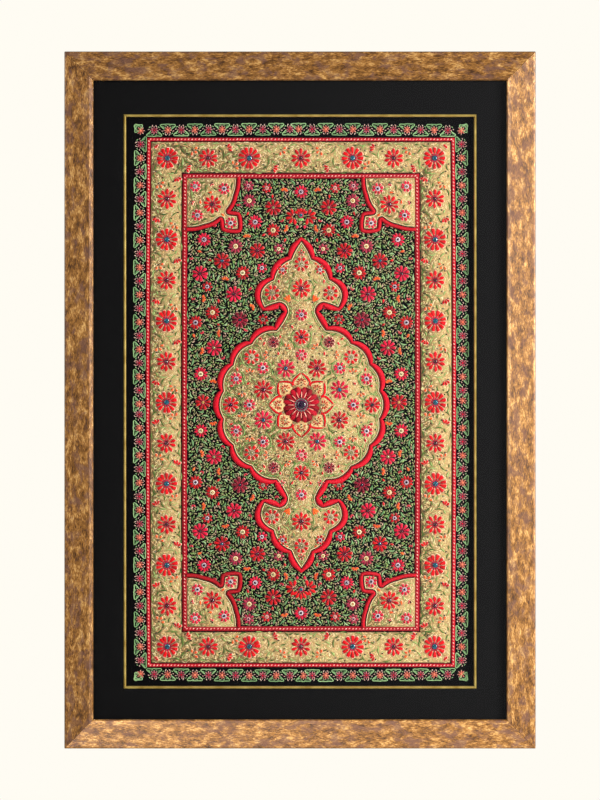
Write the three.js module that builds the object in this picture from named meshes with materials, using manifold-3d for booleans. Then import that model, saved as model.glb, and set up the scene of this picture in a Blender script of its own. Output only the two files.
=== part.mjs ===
// A framed zardozi wall hanging. A black cloth is worked all over as a small medallion carpet and
// stretched on a board behind glass, in a mitred gold moulding, with a black mat and a gilt fillet.
// Millimetres. +X is to the right, +Z up and -Y out of the wall, which is the plane Y = 0.
// The origin is where it hangs: the middle of the top edge, on the wall.
import * as THREE from 'three';
import { mergeVertices } from 'three/addons/utils/BufferGeometryUtils.js';
import Module from 'manifold-3d';

const wasm = await Module();
wasm.setup();

const pieceGap = 0.3;

// The moulding
const frameWidth = 628;
const frameHeight = 929;
const railWidth = 38;
const railDepth = 28;
const rebateWidth = 6;

// The layers from the wall forwards, and the mat's window, a little below the middle
const boardRecess = 4.8;
const boardThickness = 3;
const clothThickness = 1.5;
const matThickness = 7;
const filletProud = 0.5;
const filletWidth = 3;
const glassThickness = 2;
const windowWidth = 472;
const windowHeight = 768;
const windowDrop = 2;

// The worked area, half sizes from its own middle
const workOffset = { x: 1.2, y: -3.2 };
const workHalf = { x: 222.5, y: 372.5 };
const sideBow = 2;
const outerGuardHalf = { x: 203.4, y: 352 };
const outerGuardWidth = 5;
const innerGuardHalf = { x: 154.7, y: 303 };
const innerGuardWidth = 7;
const fieldHalf = { x: 151, y: 299.5 };

// Heights of the raised work above the face of the cloth
const vineHeight = 0.5;
const borderHeight = 0.8;
const fieldHeight = 1.1;
const medallionHeight = 1.5;
const guardHeight = 2;
const outlineHeight = 3.2;
const petalHeight = 1.5;
const domeHeight = 5.2;
const sunk = 0.6;

// The scalloped edge of the vine border
const scallopDepth = 1.6;
const scallops = { x: 12, y: 20 };

// The scalloped medallion with a pendant above and below it
const medallionOffset = { x: 0.6, y: -3.4 };
const lobeAngle = THREE.MathUtils.degToRad(20.46);
const lobesPerQuarter = 3.5;
const lobeSteps = 4;
const cuspRadius = 105.3;
const bulgeRadius = 109.5;
const cuspBand = 4.6;
const bulgeBand = 7.4;
const tipBand = 5.8;

// Each row is the end of one arc of the pendant's right side, from its neck to its tip
const pendantArcs = [
  { x: 18.7, y: 124, bulge: -1.2, steps: 2 },
  { x: 29, y: 137.3, bulge: -3.4, steps: 3 },
  { x: 49.3, y: 129.9, bulge: -0.8, steps: 2 },
  { x: 37, y: 168, bulge: 11, steps: 5 },
  { x: 13.6, y: 195.3, bulge: 5, steps: 4 },
  { x: 0, y: 219.6, bulge: 1.2, steps: 2 },
];

// The corner piece: arcs from the guard to the diagonal, u and v inwards from the field's corner
const cornerStart = { u: 65, v: -2 };
const cornerArcs = [
  { u: 61.5, v: 22, bulge: 1.4, steps: 2 },
  { u: 51.5, v: 42, bulge: 1.6, steps: 2 },
  { u: 56, v: 48.5, bulge: -2, steps: 2 },
  { u: 66, v: 49.5, bulge: 0, steps: 1 },
  { u: 67.5, v: 67.5, bulge: 1, steps: 2 },
];
const cornerBand = 5.4;

// Flowers by kind: size, petals and how far the valleys between petals come in
const flowerKinds = {
  round: { radius: 15.3, petals: 12, valley: 0.8 },
  pointed: { radius: 13.5, petals: 10, valley: 0.55 },
  star: { radius: 12.6, petals: 10, valley: 0.5 },
  button: { radius: 10.2, petals: 8, valley: 0.72 },
  ring: { radius: 8.4, petals: 6, valley: 0.62 },
  palmette: { radius: 20, petals: 9, valley: 0.6, flatten: 0.55 },
};

// Flowers of the main border: pitch along the long sides, and places along the short ones
const borderLine = { x: 178.5, y: 327 };
const longSidePitches = 6;
const shortSidePlaces = [
  { x: 0, kind: 'pointed' },
  { x: 69, kind: 'round' },
  { x: 124, kind: 'pointed' },
];

// One quarter of the flowers inside the medallion and its pendants, mirrored four ways
const medallionFlowers = [
  { x: 20.8, y: 49.2, kind: 'star' },
  { x: 50.5, y: 20.2, kind: 'star' },
  { x: 69, y: 0, kind: 'ring' },
  { x: 66, y: 64, kind: 'button' },
  { x: 94, y: 0, kind: 'button' },
  { x: 0, y: 91, kind: 'button' },
  { x: 36, y: 84, kind: 'ring' },
  { x: 0, y: 156, kind: 'star' },
  { x: 37, y: 149, kind: 'button' },
  { x: 0, y: 189, kind: 'button' },
];

// One quarter of the flowers of the dark field, from the field's own middle
const fieldFlowers = [
  { x: 0, y: 282, kind: 'ring' },
  { x: 0, y: 250, kind: 'palmette' },
  { x: 37, y: 261, kind: 'button' },
  { x: 69, y: 270, kind: 'ring' },
  { x: 61, y: 241.5, kind: 'ring' },
  { x: 37, y: 230.5, kind: 'ring' },
  { x: 129, y: 218, kind: 'ring' },
  { x: 87, y: 209, kind: 'ring' },
  { x: 58, y: 203, kind: 'button' },
  { x: 105, y: 189.5, kind: 'button' },
  { x: 77.5, y: 173.5, kind: 'ring' },
  { x: 134, y: 172.5, kind: 'button' },
  { x: 89, y: 145, kind: 'button' },
  { x: 117.5, y: 120.5, kind: 'ring' },
  { x: 140, y: 107, kind: 'ring' },
  { x: 81, y: 110.5, kind: 'button' },
  { x: 115.5, y: 73, kind: 'button' },
  { x: 133, y: 38, kind: 'ring' },
  { x: 130, y: 0, kind: 'button' },
];

// Flowers of a corner piece, u and v inwards from the field's corner
const cornerFlowers = [
  { u: 33, v: 34.5, kind: 'star' },
  { u: 10, v: 10.5, kind: 'ring' },
  { u: 48.5, v: 13.5, kind: 'ring' },
  { u: 13, v: 49, kind: 'ring' },
  { u: 57.5, v: 59.5, kind: 'ring' },
];

// The domed flower in the middle, with a ring of pointed arches round it
const domePetals = 16;
const domeProfile = [
  { radius: 24, height: -sunk },
  { radius: 24, height: 1.9 },
  { radius: 17, height: 3.3 },
  { radius: 15, height: 3.1 },
  { radius: 8.5, height: domeHeight },
];
const archCount = 8;
const archOutline = [
  { across: 0, out: 20 },
  { across: 9, out: 22 },
  { across: 12, out: 28.6 },
  { across: 9.4, out: 34 },
  { across: 5, out: 38.8 },
  { across: 0, out: 44 },
];
const stoneProfile = [
  { radius: 6, height: 0 },
  { radius: 6, height: 0.7 },
  { radius: 4.4, height: 1.5 },
];
const stoneTop = 1.9;

// A point of the worked area, moved as the long sides of the handwork bow outwards
function bowed({ x, y }) {
  const along = y / workHalf.y;
  return { x: x + sideBow * (x / workHalf.x) * (1 - along * along), y };
}

// Points of a shallow arc after its start, bulging to the right of the way by bulge
function arcPoints(start, end) {
  const way = { x: end.x - start.x, y: end.y - start.y };
  const length = Math.hypot(way.x, way.y);
  return Array.from({ length: end.steps }, (_, step) => {
    const t = (step + 1) / end.steps;
    const swell = 4 * t * (1 - t);
    return {
      x: start.x + way.x * t + (way.y / length) * end.bulge * swell,
      y: start.y + way.y * t - (way.x / length) * end.bulge * swell,
      swell,
    };
  });
}

function chainOf(start, arcs) {
  const points = [{ ...start, swell: 0 }];
  for (const arc of arcs) {
    points.push(...arcPoints(points.at(-1), arc));
  }
  return points;
}

// The medallion's edge from its widest point on the right to its top tip
function medallionQuarter() {
  const lobes = Array.from({ length: lobesPerQuarter * lobeSteps + 1 }, (_, step) => {
    const lobe = step / lobeSteps + 0.5;
    const t = lobe - Math.floor(lobe);
    const swell = 4 * t * (1 - t);
    const radius = cuspRadius + (bulgeRadius - cuspRadius) * swell;
    const angle = (step / lobeSteps) * lobeAngle;
    return { x: radius * Math.cos(angle), y: radius * Math.sin(angle), swell };
  });
  return [...lobes, ...chainOf(lobes.at(-1), pendantArcs).slice(1)];
}

// A closed loop from a quarter that starts on the x axis and ends on the y axis
function fourWay(quarter) {
  const inner = quarter.slice(1, -1);
  const mirrored = (points, sx, sy) => points.map((p) => ({ ...p, x: sx * p.x, y: sy * p.y }));
  return [
    ...quarter,
    ...mirrored(inner.toReversed(), -1, 1),
    ...mirrored(quarter, -1, -1),
    ...mirrored(inner.toReversed(), 1, -1),
  ];
}

// The points of a loop or chain, each moved to the right of the way by its own width
function movedOut(points, widthOf, closed) {
  const last = points.length - 1;
  const before = (i) => (closed ? points.at(i - 1) : points[Math.max(i - 1, 0)]);
  const after = (i) => (closed ? points[(i + 1) % points.length] : points[Math.min(i + 1, last)]);
  return points.map((point, i) => {
    const way = { x: after(i).x - before(i).x, y: after(i).y - before(i).y };
    const length = Math.hypot(way.x, way.y);
    const width = widthOf(point);
    return { x: point.x + (way.y / length) * width, y: point.y - (way.x / length) * width };
  });
}

// The width of the band round the medallion, whose two tips lie on the upright line x = 0
function bandWidth({ x, swell }) {
  return x === 0 ? tipBand : cuspBand + (bulgeBand - cuspBand) * swell;
}

// A rectangle with points along its long sides, so that they can bow
function rectangle(half) {
  const sideSteps = 8;
  const corners = [
    { x: half.x, y: -half.y },
    { x: half.x, y: half.y },
    { x: -half.x, y: half.y },
    { x: -half.x, y: -half.y },
  ];
  return corners.flatMap((corner, i) => {
    const next = corners[(i + 1) % corners.length];
    const steps = corner.x === next.x ? sideSteps : 1;
    return Array.from({ length: steps }, (_, step) => ({
      x: THREE.MathUtils.lerp(corner.x, next.x, step / steps),
      y: THREE.MathUtils.lerp(corner.y, next.y, step / steps),
    }));
  });
}

// The vine border's outer edge, which swells out round the corners and every scroll of the vine
function scallopedRectangle(half) {
  const swells = [
    { at: 0, out: 1 },
    { at: 0.3, out: 1 },
    { at: 0.5, out: 0 },
    { at: 0.7, out: 1 },
  ];
  const side = (halfLength, distance, count) =>
    Array.from({ length: count }, (_, i) =>
      swells.map(({ at, out }) => ({
        along: -halfLength + ((i + at) * 2 * halfLength) / count,
        out: distance + (out - 1) * scallopDepth,
      })),
    ).flat();
  const right = side(half.y, half.x, scallops.y).map(({ along, out }) => ({ x: out, y: along }));
  const top = side(half.x, half.y, scallops.x).map(({ along, out }) => ({ x: -along, y: out }));
  const turned = (points) => points.map(({ x, y }) => ({ x: -x, y: -y }));
  return [...right, ...top, ...turned(right), ...turned(top)];
}

// A solid for joining and cutting, from a closed geometry
function solidOf(geometry) {
  geometry.deleteAttribute('normal');
  geometry.deleteAttribute('uv');
  const merged = mergeVertices(geometry);
  return new wasm.Manifold(
    new wasm.Mesh({
      numProp: 3,
      vertProperties: new Float32Array(merged.getAttribute('position').array),
      triVerts: new Uint32Array(merged.getIndex().array),
    }),
  );
}

function geometryOf(solid) {
  const { vertProperties, triVerts } = solid.getMesh();
  const geometry = new THREE.BufferGeometry();
  geometry.setAttribute('position', new THREE.BufferAttribute(vertProperties, 3));
  geometry.setIndex(new THREE.BufferAttribute(triVerts, 1));
  return geometry;
}

// A flat raised area with straight sides
function plate(outline, height) {
  const shape = new THREE.Shape(outline.map(({ x, y }) => new THREE.Vector2(x, y)));
  const geometry = new THREE.ExtrudeGeometry(shape, { depth: height + sunk, bevelEnabled: false });
  geometry.translate(0, 0, -sunk);
  return solidOf(geometry);
}

// A padded cord or band between two edges, with sloped shoulders
function band(inner, outer, height, closed) {
  const shoulder = 0.25;
  const section = [
    { across: 0, up: -sunk },
    { across: shoulder, up: height },
    { across: 1 - shoulder, up: height },
    { across: 1, up: -sunk },
  ];
  const positions = inner.flatMap((point, i) =>
    section.flatMap(({ across, up }) => [
      THREE.MathUtils.lerp(point.x, outer[i].x, across),
      THREE.MathUtils.lerp(point.y, outer[i].y, across),
      up,
    ]),
  );
  const sides = section.length;
  const joins = closed ? inner.length : inner.length - 1;
  const triangles = Array.from({ length: joins }, (_, i) => {
    const here = i * sides;
    const there = ((i + 1) % inner.length) * sides;
    return section.flatMap((_, k) => {
      const next = (k + 1) % sides;
      return [here + k, there + next, there + k, here + k, here + next, there + next];
    });
  }).flat();
  if (!closed) {
    const end = joins * sides;
    triangles.push(0, 2, 1, 0, 3, 2, end, end + 1, end + 2, end, end + 2, end + 3);
  }
  const geometry = new THREE.BufferGeometry();
  geometry.setAttribute('position', new THREE.Float32BufferAttribute(positions, 3));
  geometry.setIndex(triangles);
  return solidOf(geometry);
}

// A guard: a raised cord all round, between two rectangles
function guard(half, width) {
  const inner = rectangle({ x: half.x - width / 2, y: half.y - width / 2 }).map(bowed);
  const outer = rectangle({ x: half.x + width / 2, y: half.y + width / 2 }).map(bowed);
  return band(inner, outer, guardHeight, true);
}

// A flower as a low star whose ridges run to the petals' tips
function flower({ x, y, kind }, ground) {
  const { radius, petals, valley, flatten = 1 } = flowerKinds[kind];
  const foot = 0.2;
  const geometry = new THREE.ConeGeometry(radius, petalHeight + foot, 2 * petals);
  const position = geometry.getAttribute('position');
  for (let i = 0; i < position.count; i += 1) {
    const spoke = Math.round((Math.atan2(position.getX(i), position.getZ(i)) * petals) / Math.PI);
    const reach = spoke % 2 === 0 ? 1 : valley;
    position.setXYZ(i, position.getX(i) * reach, position.getY(i), position.getZ(i) * reach * flatten);
  }
  geometry.rotateX(Math.PI / 2);
  const place = bowed({ x, y });
  geometry.translate(place.x, place.y, ground + (petalHeight - foot) / 2);
  return solidOf(geometry);
}

// The four mirror images of a flower, less those that fall on each other
function mirroredFour({ x, y, kind }) {
  const acrossX = x === 0 ? [0] : [x, -x];
  const acrossY = y === 0 ? [0] : [y, -y];
  return acrossX.flatMap((px) => acrossY.map((py) => ({ x: px, y: py, kind })));
}

function borderFlowers() {
  const pitch = borderLine.y / longSidePitches;
  const longSides = Array.from({ length: longSidePitches + 1 }, (_, i) => ({
    x: borderLine.x,
    y: i * pitch,
    kind: i % 2 === 0 ? 'round' : 'pointed',
  }));
  const shortSides = shortSidePlaces.map(({ x, kind }) => ({ x, y: borderLine.y, kind }));
  return [...longSides, ...shortSides].flatMap(mirroredFour);
}

// The tan medallion with its padded edge, the flowers on it and the domed flower in its middle
function medallion() {
  const toPlace = ({ x, y }) => bowed({ x: x + medallionOffset.x, y: y + medallionOffset.y });
  const edge = fourWay(medallionQuarter());
  const inner = edge.map(toPlace);
  const outer = movedOut(edge, bandWidth, true).map(toPlace);
  const flowers = medallionFlowers
    .flatMap(mirroredFour)
    .map(({ x, y, kind }) => ({ x: x + medallionOffset.x, y: y + medallionOffset.y, kind }));
  return [
    plate(inner, medallionHeight),
    band(inner, outer, outlineHeight, true),
    ...flowers.map((place) => flower(place, medallionHeight)),
    ...arches(),
    dome(),
  ];
}

function dome() {
  const profile = domeProfile.map(({ radius, height }) => new THREE.Vector2(radius, height));
  const ends = [new THREE.Vector2(0, -sunk), new THREE.Vector2(0, domeHeight)];
  const geometry = new THREE.LatheGeometry([ends[0], ...profile, ends[1]], 2 * domePetals);
  const position = geometry.getAttribute('position');
  const valley = 0.86;
  for (let i = 0; i < position.count; i += 1) {
    const spoke = Math.round((Math.atan2(position.getX(i), position.getZ(i)) * domePetals) / Math.PI);
    const reach = spoke % 2 === 0 ? 1 : valley;
    position.setXYZ(i, position.getX(i) * reach, position.getY(i), position.getZ(i) * reach);
  }
  geometry.rotateX(Math.PI / 2);
  geometry.translate(medallionOffset.x, medallionOffset.y, 0);
  return solidOf(geometry);
}

function arches() {
  const archHeight = 2.1;
  const left = archOutline.slice(1, -1).toReversed();
  const outline = [...archOutline, ...left.map(({ across, out }) => ({ across: -across, out }))];
  return Array.from({ length: archCount }, (_, i) => {
    const angle = (i * 2 * Math.PI) / archCount;
    const turned = outline.map(({ across, out }) => ({
      x: medallionOffset.x + out * Math.cos(angle) - across * Math.sin(angle),
      y: medallionOffset.y + out * Math.sin(angle) + across * Math.cos(angle),
    }));
    return plate(turned, archHeight);
  });
}

// A corner piece with its padded edge and flowers, in the corner on the sides given by signs
function cornerPiece(signX, signY) {
  const toPlace = ({ u, v }) => bowed({ x: signX * (fieldHalf.x - u), y: signY * (fieldHalf.y - v) });
  const asPoint = ({ u, v, ...rest }) => ({ x: u, y: v, ...rest });
  const half = chainOf(asPoint(cornerStart), cornerArcs.map(asPoint));
  const chain = [...half, ...half.slice(0, -1).toReversed().map((p) => ({ ...p, x: p.y, y: p.x }))];
  const placed = (points) => points.map(({ x, y }) => toPlace({ u: x, v: y }));
  const inner = placed(chain);
  const outer = placed(movedOut(chain, () => cornerBand, false));
  const flip = signX * signY < 0;
  const ordered = (points) => (flip ? points.toReversed() : points);
  const corner = toPlace({ u: cornerStart.v, v: cornerStart.v });
  return [
    plate([...inner, corner], medallionHeight),
    band(ordered(inner), ordered(outer), outlineHeight, false),
    ...cornerFlowers.map(({ u, v, kind }) =>
      flower({ x: signX * (fieldHalf.x - u), y: signY * (fieldHalf.y - v), kind }, medallionHeight),
    ),
  ];
}

// The cloth and all that is worked into it, face up, with its middle at the middle of the frame
function embroideredCloth() {
  const ground = new THREE.BoxGeometry(panelWidth, panelHeight, clothThickness);
  ground.translate(-workOffset.x, -workOffset.y, -clothThickness / 2);
  const signs = [1, -1];
  const parts = [
    plate(scallopedRectangle(workHalf).map(bowed), vineHeight),
    guard(outerGuardHalf, outerGuardWidth),
    plate(rectangle(outerGuardHalf).map(bowed), borderHeight),
    guard(innerGuardHalf, innerGuardWidth),
    plate(rectangle(innerGuardHalf).map(bowed), fieldHeight),
    ...borderFlowers().map((place) => flower(place, borderHeight)),
    ...fieldFlowers.flatMap(mirroredFour).map((place) => flower(place, fieldHeight)),
    ...signs.flatMap((sx) => signs.flatMap((sy) => cornerPiece(sx, sy))),
    ...medallion(),
  ];
  const joined = parts.reduce((whole, part) => whole.add(part), solidOf(ground));
  const geometry = geometryOf(joined);
  geometry.translate(workOffset.x, workOffset.y, 0);
  return geometry;
}

function centreStone() {
  const profile = stoneProfile.map(({ radius, height }) => new THREE.Vector2(radius, height));
  const ends = [new THREE.Vector2(0, 0), new THREE.Vector2(0, stoneTop)];
  const stoneSides = 16;
  const geometry = new THREE.LatheGeometry([ends[0], ...profile, ends[1]], stoneSides);
  geometry.rotateX(Math.PI / 2);
  const x = workOffset.x + medallionOffset.x;
  const y = workOffset.y + medallionOffset.y;
  geometry.translate(x, y, domeHeight + pieceGap);
  return geometry;
}

// A strip with mitred ends: its section runs inwards from the outer edge and forwards from the wall
function mitredStrip(section, length) {
  const points = section.map(({ inwards, forwards }) => new THREE.Vector2(inwards, forwards));
  const shape = new THREE.Shape(points);
  const geometry = new THREE.ExtrudeGeometry(shape, { depth: length, bevelEnabled: false });
  const position = geometry.getAttribute('position');
  const mitreGap = pieceGap / Math.SQRT2;
  for (let i = 0; i < position.count; i += 1) {
    const cut = position.getX(i) + mitreGap;
    const along = position.getZ(i);
    position.setZ(i, (along === 0 ? cut : length - cut) - length / 2);
  }
  const turn = new THREE.Matrix4().makeBasis(
    new THREE.Vector3(0, 0, -1),
    new THREE.Vector3(0, -1, 0),
    new THREE.Vector3(-1, 0, 0),
  );
  return geometry.applyMatrix4(turn);
}

// The moulding: softened outer edge, face falling slightly inwards, bevelled lip, rebate behind
function railSection() {
  return [
    { inwards: 0, forwards: 0 },
    { inwards: railWidth - rebateWidth, forwards: 0 },
    { inwards: railWidth - rebateWidth, forwards: lipBack },
    { inwards: railWidth, forwards: lipBack },
    { inwards: railWidth, forwards: lipBack + 3 },
    { inwards: railWidth - 1.2, forwards: lipBack + 5 },
    { inwards: railWidth - 5, forwards: railDepth - 1.6 },
    { inwards: 2.6, forwards: railDepth },
    { inwards: 0.9, forwards: railDepth - 0.5 },
    { inwards: 0, forwards: railDepth - 2 },
  ];
}

function filletSection() {
  const edge = 0.9;
  const back = matBack;
  return [
    { inwards: 0, forwards: back },
    { inwards: filletWidth, forwards: back },
    { inwards: filletWidth, forwards: filletFront - edge },
    { inwards: filletWidth - edge, forwards: filletFront },
    { inwards: edge, forwards: filletFront },
    { inwards: 0, forwards: filletFront - edge },
  ];
}

// Four mitred strips round a rectangle, one named mesh for each side
function surround(prefix, section, width, height, material) {
  const sides = [
    { side: 'top', quarterTurns: 0, length: width, reach: height / 2 },
    { side: 'right', quarterTurns: 1, length: height, reach: width / 2 },
    { side: 'bottom', quarterTurns: 2, length: width, reach: height / 2 },
    { side: 'left', quarterTurns: 3, length: height, reach: width / 2 },
  ];
  const group = new THREE.Group();
  for (const { side, quarterTurns, length, reach } of sides) {
    const arm = new THREE.Group();
    const strip = new THREE.Mesh(mitredStrip(section, length), material());
    strip.name = `${prefix}_${side}`;
    strip.position.z = reach;
    arm.rotation.y = (quarterTurns * Math.PI) / 2;
    arm.add(strip);
    group.add(arm);
  }
  return group;
}

// A flat panel with its back at a distance from the wall
function panel(name, thickness, back, material) {
  const mesh = new THREE.Mesh(new THREE.BoxGeometry(panelWidth, thickness, panelHeight), material);
  mesh.name = name;
  mesh.position.y = -(back + thickness / 2);
  return mesh;
}

function matBoard() {
  const outer = new THREE.BoxGeometry(panelWidth, matThickness, panelHeight);
  const cut = new THREE.BoxGeometry(windowWidth, 2 * matThickness, windowHeight);
  cut.translate(0, 0, -windowDrop);
  const mesh = new THREE.Mesh(geometryOf(solidOf(outer).subtract(solidOf(cut))), matBlack());
  mesh.name = 'mat_board';
  mesh.position.y = -(matBack + matThickness / 2);
  return mesh;
}

// Something drawn face up, stood up so that its face is forwards
function faceForward(name, geometry, material) {
  const mesh = new THREE.Mesh(geometry, material);
  mesh.name = name;
  mesh.rotation.x = Math.PI / 2;
  mesh.position.y = -clothFront;
  return mesh;
}

function finish(color, roughness, metalness, more = {}) {
  return new THREE.MeshStandardMaterial({ color, roughness, metalness, flatShading: true, ...more });
}

const goldMoulding = () => finish(0x9a6a34, 0.42, 0.6);
const gilt = () => finish(0xc09a48, 0.25, 0.9);
const matBlack = () => finish(0x14120f, 0.85, 0);
const embroidery = () => finish(0x8f6a4a, 0.8, 0);
const clearGlass = () => finish(0xdfe8ea, 0.05, 0, { transparent: true, opacity: 0.2 });
const hardboard = () => finish(0x6d5138, 0.85, 0);
const garnet = () => finish(0x2a1a30, 0.15, 0);

// Distances from the wall, worked out layer by layer
const boardFront = boardRecess + boardThickness;
const clothFront = boardFront + pieceGap + clothThickness;
const matBack = clothFront + pieceGap;
const filletFront = matBack + matThickness + filletProud;
const glassBack = filletFront + pieceGap;
const lipBack = glassBack + glassThickness + pieceGap;

// The panels fill the rebate, and the fillet lines the mat's window
const panelWidth = frameWidth - 2 * (railWidth - rebateWidth + pieceGap);
const panelHeight = frameHeight - 2 * (railWidth - rebateWidth + pieceGap);
const filletsWidth = windowWidth - 2 * pieceGap;
const filletsHeight = windowHeight - 2 * pieceGap;

const fillets = surround('fillet', filletSection(), filletsWidth, filletsHeight, gilt);
fillets.position.z = -windowDrop;

const hanging = new THREE.Group();
hanging.position.z = -frameHeight / 2;
hanging.add(
  surround('rail', railSection(), frameWidth, frameHeight, goldMoulding),
  fillets,
  panel('glass', glassThickness, glassBack, clearGlass()),
  matBoard(),
  faceForward('embroidered_cloth', embroideredCloth(), embroidery()),
  faceForward('centre_stone', centreStone(), garnet()),
  panel('backing_board', boardThickness, boardRecess, hardboard()),
);

export default new THREE.Group().add(hanging);
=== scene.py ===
# The finished look of a framed zardozi wall hanging: velvet, silk and metal thread, padding, beads and
# stones behind glass, in a rubbed gold moulding with a black mat and a gilt fillet.
# The drawing is in millimetres from the middle of the worked area: x to the right, y up, and up for
# the height above the face of the cloth. on_cloth() turns its points into the frame's metres.
import math

import bpy
import numpy as np
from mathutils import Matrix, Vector
from mathutils.geometry import tessellate_polygon


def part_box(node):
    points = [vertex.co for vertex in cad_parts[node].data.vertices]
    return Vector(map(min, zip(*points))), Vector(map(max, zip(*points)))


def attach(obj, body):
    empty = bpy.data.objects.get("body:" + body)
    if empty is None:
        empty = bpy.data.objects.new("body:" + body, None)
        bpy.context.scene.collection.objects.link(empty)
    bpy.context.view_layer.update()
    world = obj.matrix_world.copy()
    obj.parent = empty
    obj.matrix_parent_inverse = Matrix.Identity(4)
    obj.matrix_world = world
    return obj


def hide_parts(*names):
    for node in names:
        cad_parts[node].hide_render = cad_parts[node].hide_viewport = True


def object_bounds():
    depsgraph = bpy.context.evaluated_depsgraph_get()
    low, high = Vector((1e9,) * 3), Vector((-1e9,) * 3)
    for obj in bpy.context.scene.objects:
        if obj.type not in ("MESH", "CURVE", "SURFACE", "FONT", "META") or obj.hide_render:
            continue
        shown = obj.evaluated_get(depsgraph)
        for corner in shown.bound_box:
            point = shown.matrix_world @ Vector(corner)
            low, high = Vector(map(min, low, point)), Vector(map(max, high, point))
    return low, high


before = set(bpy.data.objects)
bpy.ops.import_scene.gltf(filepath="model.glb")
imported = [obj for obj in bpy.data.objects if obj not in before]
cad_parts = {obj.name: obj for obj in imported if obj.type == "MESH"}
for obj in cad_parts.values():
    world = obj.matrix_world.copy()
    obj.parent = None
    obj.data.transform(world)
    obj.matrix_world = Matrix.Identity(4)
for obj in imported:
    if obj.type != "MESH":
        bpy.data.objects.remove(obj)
cad_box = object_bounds()

MM = 0.001
rng = np.random.default_rng(1847)

# Where the cloth is, read from the frame
middle = (cad_box[0] + cad_box[1]) / 2
cloth_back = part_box("embroidered_cloth")[1].y
CLOTH_THICKNESS = 1.5 * MM
cloth_face = cloth_back - CLOTH_THICKNESS

# The worked area and its rectangles, half sizes from its own middle
WORK_OFFSET = (1.2, -3.2)
WORK_HALF = (222.5, 372.5)
SIDE_BOW = 2
OUTER_GUARD = {"half": (203.4, 352), "width": 5}
INNER_GUARD = {"half": (154.7, 303), "width": 7}
FIELD_HALF = (151, 299.5)
GUARD_HEIGHT = 1.7
OUTLINE_HEIGHT = 3.2

# The quarters of the drawing, the corners of a rectangle anticlockwise from the lower right one, and
# the steps along its sides, short enough that they can bow
QUARTERS = ((1, 1), (-1, 1), (-1, -1), (1, -1))
CORNERS = np.array([(1, -1), (1, 1), (-1, 1), (-1, -1)])
BOW_STEP = 4.0

# The beads along the middle of the guards
BEAD_PITCH = 4.6
BEAD_SLANT = math.radians(28)

# Heights of the grounds on which the thread is laid
BORDER_LEVEL = 0.35
MEDALLION_LEVEL = 1.0
ARCH_LEVEL = 1.6

# The dark line left between a guard and the main border, and how far inside their edges the stitches of
# the medallion and of the corner pieces begin
DARK_LINE = 1.2
MEDALLION_INSET = 2.6
CORNER_INSET = 2.4

# The medallion: lobes of a circle, then the arcs of the pendant's right side from its neck to its tip
MEDALLION_OFFSET = (0.6, -3.4)
LOBE_ANGLE = math.radians(20.46)
LOBES_PER_QUARTER = 3.5
LOBE_STEPS = 10
CUSP_RADIUS, BULGE_RADIUS = 105.3, 109.5
CUSP_BAND, BULGE_BAND, TIP_BAND = 4.2, 7.8, 5.8
PENDANT_ARCS = [
    {"end": (18.7, 124), "bulge": -1.2},
    {"end": (29, 137.3), "bulge": -3.4},
    {"end": (49.3, 129.9), "bulge": -0.8},
    {"end": (37, 168), "bulge": 11},
    {"end": (13.6, 195.3), "bulge": 5},
    {"end": (0, 219.6), "bulge": 1.2},
]

# The corner piece: arcs from the guard to the diagonal, inwards from the field's corner
CORNER_START = (65, -2)
CORNER_ARCS = [
    {"end": (61.5, 22), "bulge": 1.4},
    {"end": (51.5, 42), "bulge": 1.6},
    {"end": (56, 48.5), "bulge": -2},
    {"end": (66, 49.5), "bulge": 0},
    {"end": (67.5, 67.5), "bulge": 1},
]
CORNER_BAND = 5.4

# Heights in a flower, and how much wider than a petal the pale thread under it is, on the tan ground and
# on the dark field
PETAL_HEIGHT = 1.5
RING_HEIGHT, HEART_HEIGHT, STONE_HEIGHT = 1.4, 0.9, 2.1
HALO_HEIGHT = 0.6
HALO_RIM, FIELD_HALO_RIM = 1.7, 1.19
DOT_RADIUS = 1.05

# A curled stem: its width, the steps along it, and how far off it its leaves lie
STEM_WIDTH = 1.5
STEM_STEP = 2.6
STEM_LEAF_OFF = 2.2

# Flowers by kind: petals from the inner to the outer radius, their form and width, and what is in the
# middle: small petals out to the radius of the rays or a ring of cord, and a stone
FLOWER_COLUMNS = ("petals", "inner", "outer", "form", "width", "rays", "ring", "stone")
FLOWER_KINDS = {
    "round": (12, 5.9, 15.0, "blob", 6.3, 7.2, 0, 3.8),
    "pointed": (10, 4.4, 13.7, "lens", 4.8, 5.8, 0, 2.8),
    "star": (10, 4.2, 13.0, "lens", 4.6, 5.4, 0, 2.9),
    "button": (8, 4.4, 10.0, "blob", 5.3, 0, 4.1, 2.1),
    "ring": (8, 3.1, 7.9, "blob", 4.5, 0, 3.4, 1.8),
    "bloom": (9, 3.6, 10.4, "blob", 5.2, 4.8, 0, 2.3),
    "wheel": (11, 3.2, 9.2, "lens", 3.5, 0, 3.3, 1.6),
    "small": (7, 2.6, 7.0, "lens", 3.8, 0, 2.7, 1.3),
    "tiny": (5, 1.2, 4.8, "drop", 2.7, 0, 0, 1.0),
}

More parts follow.
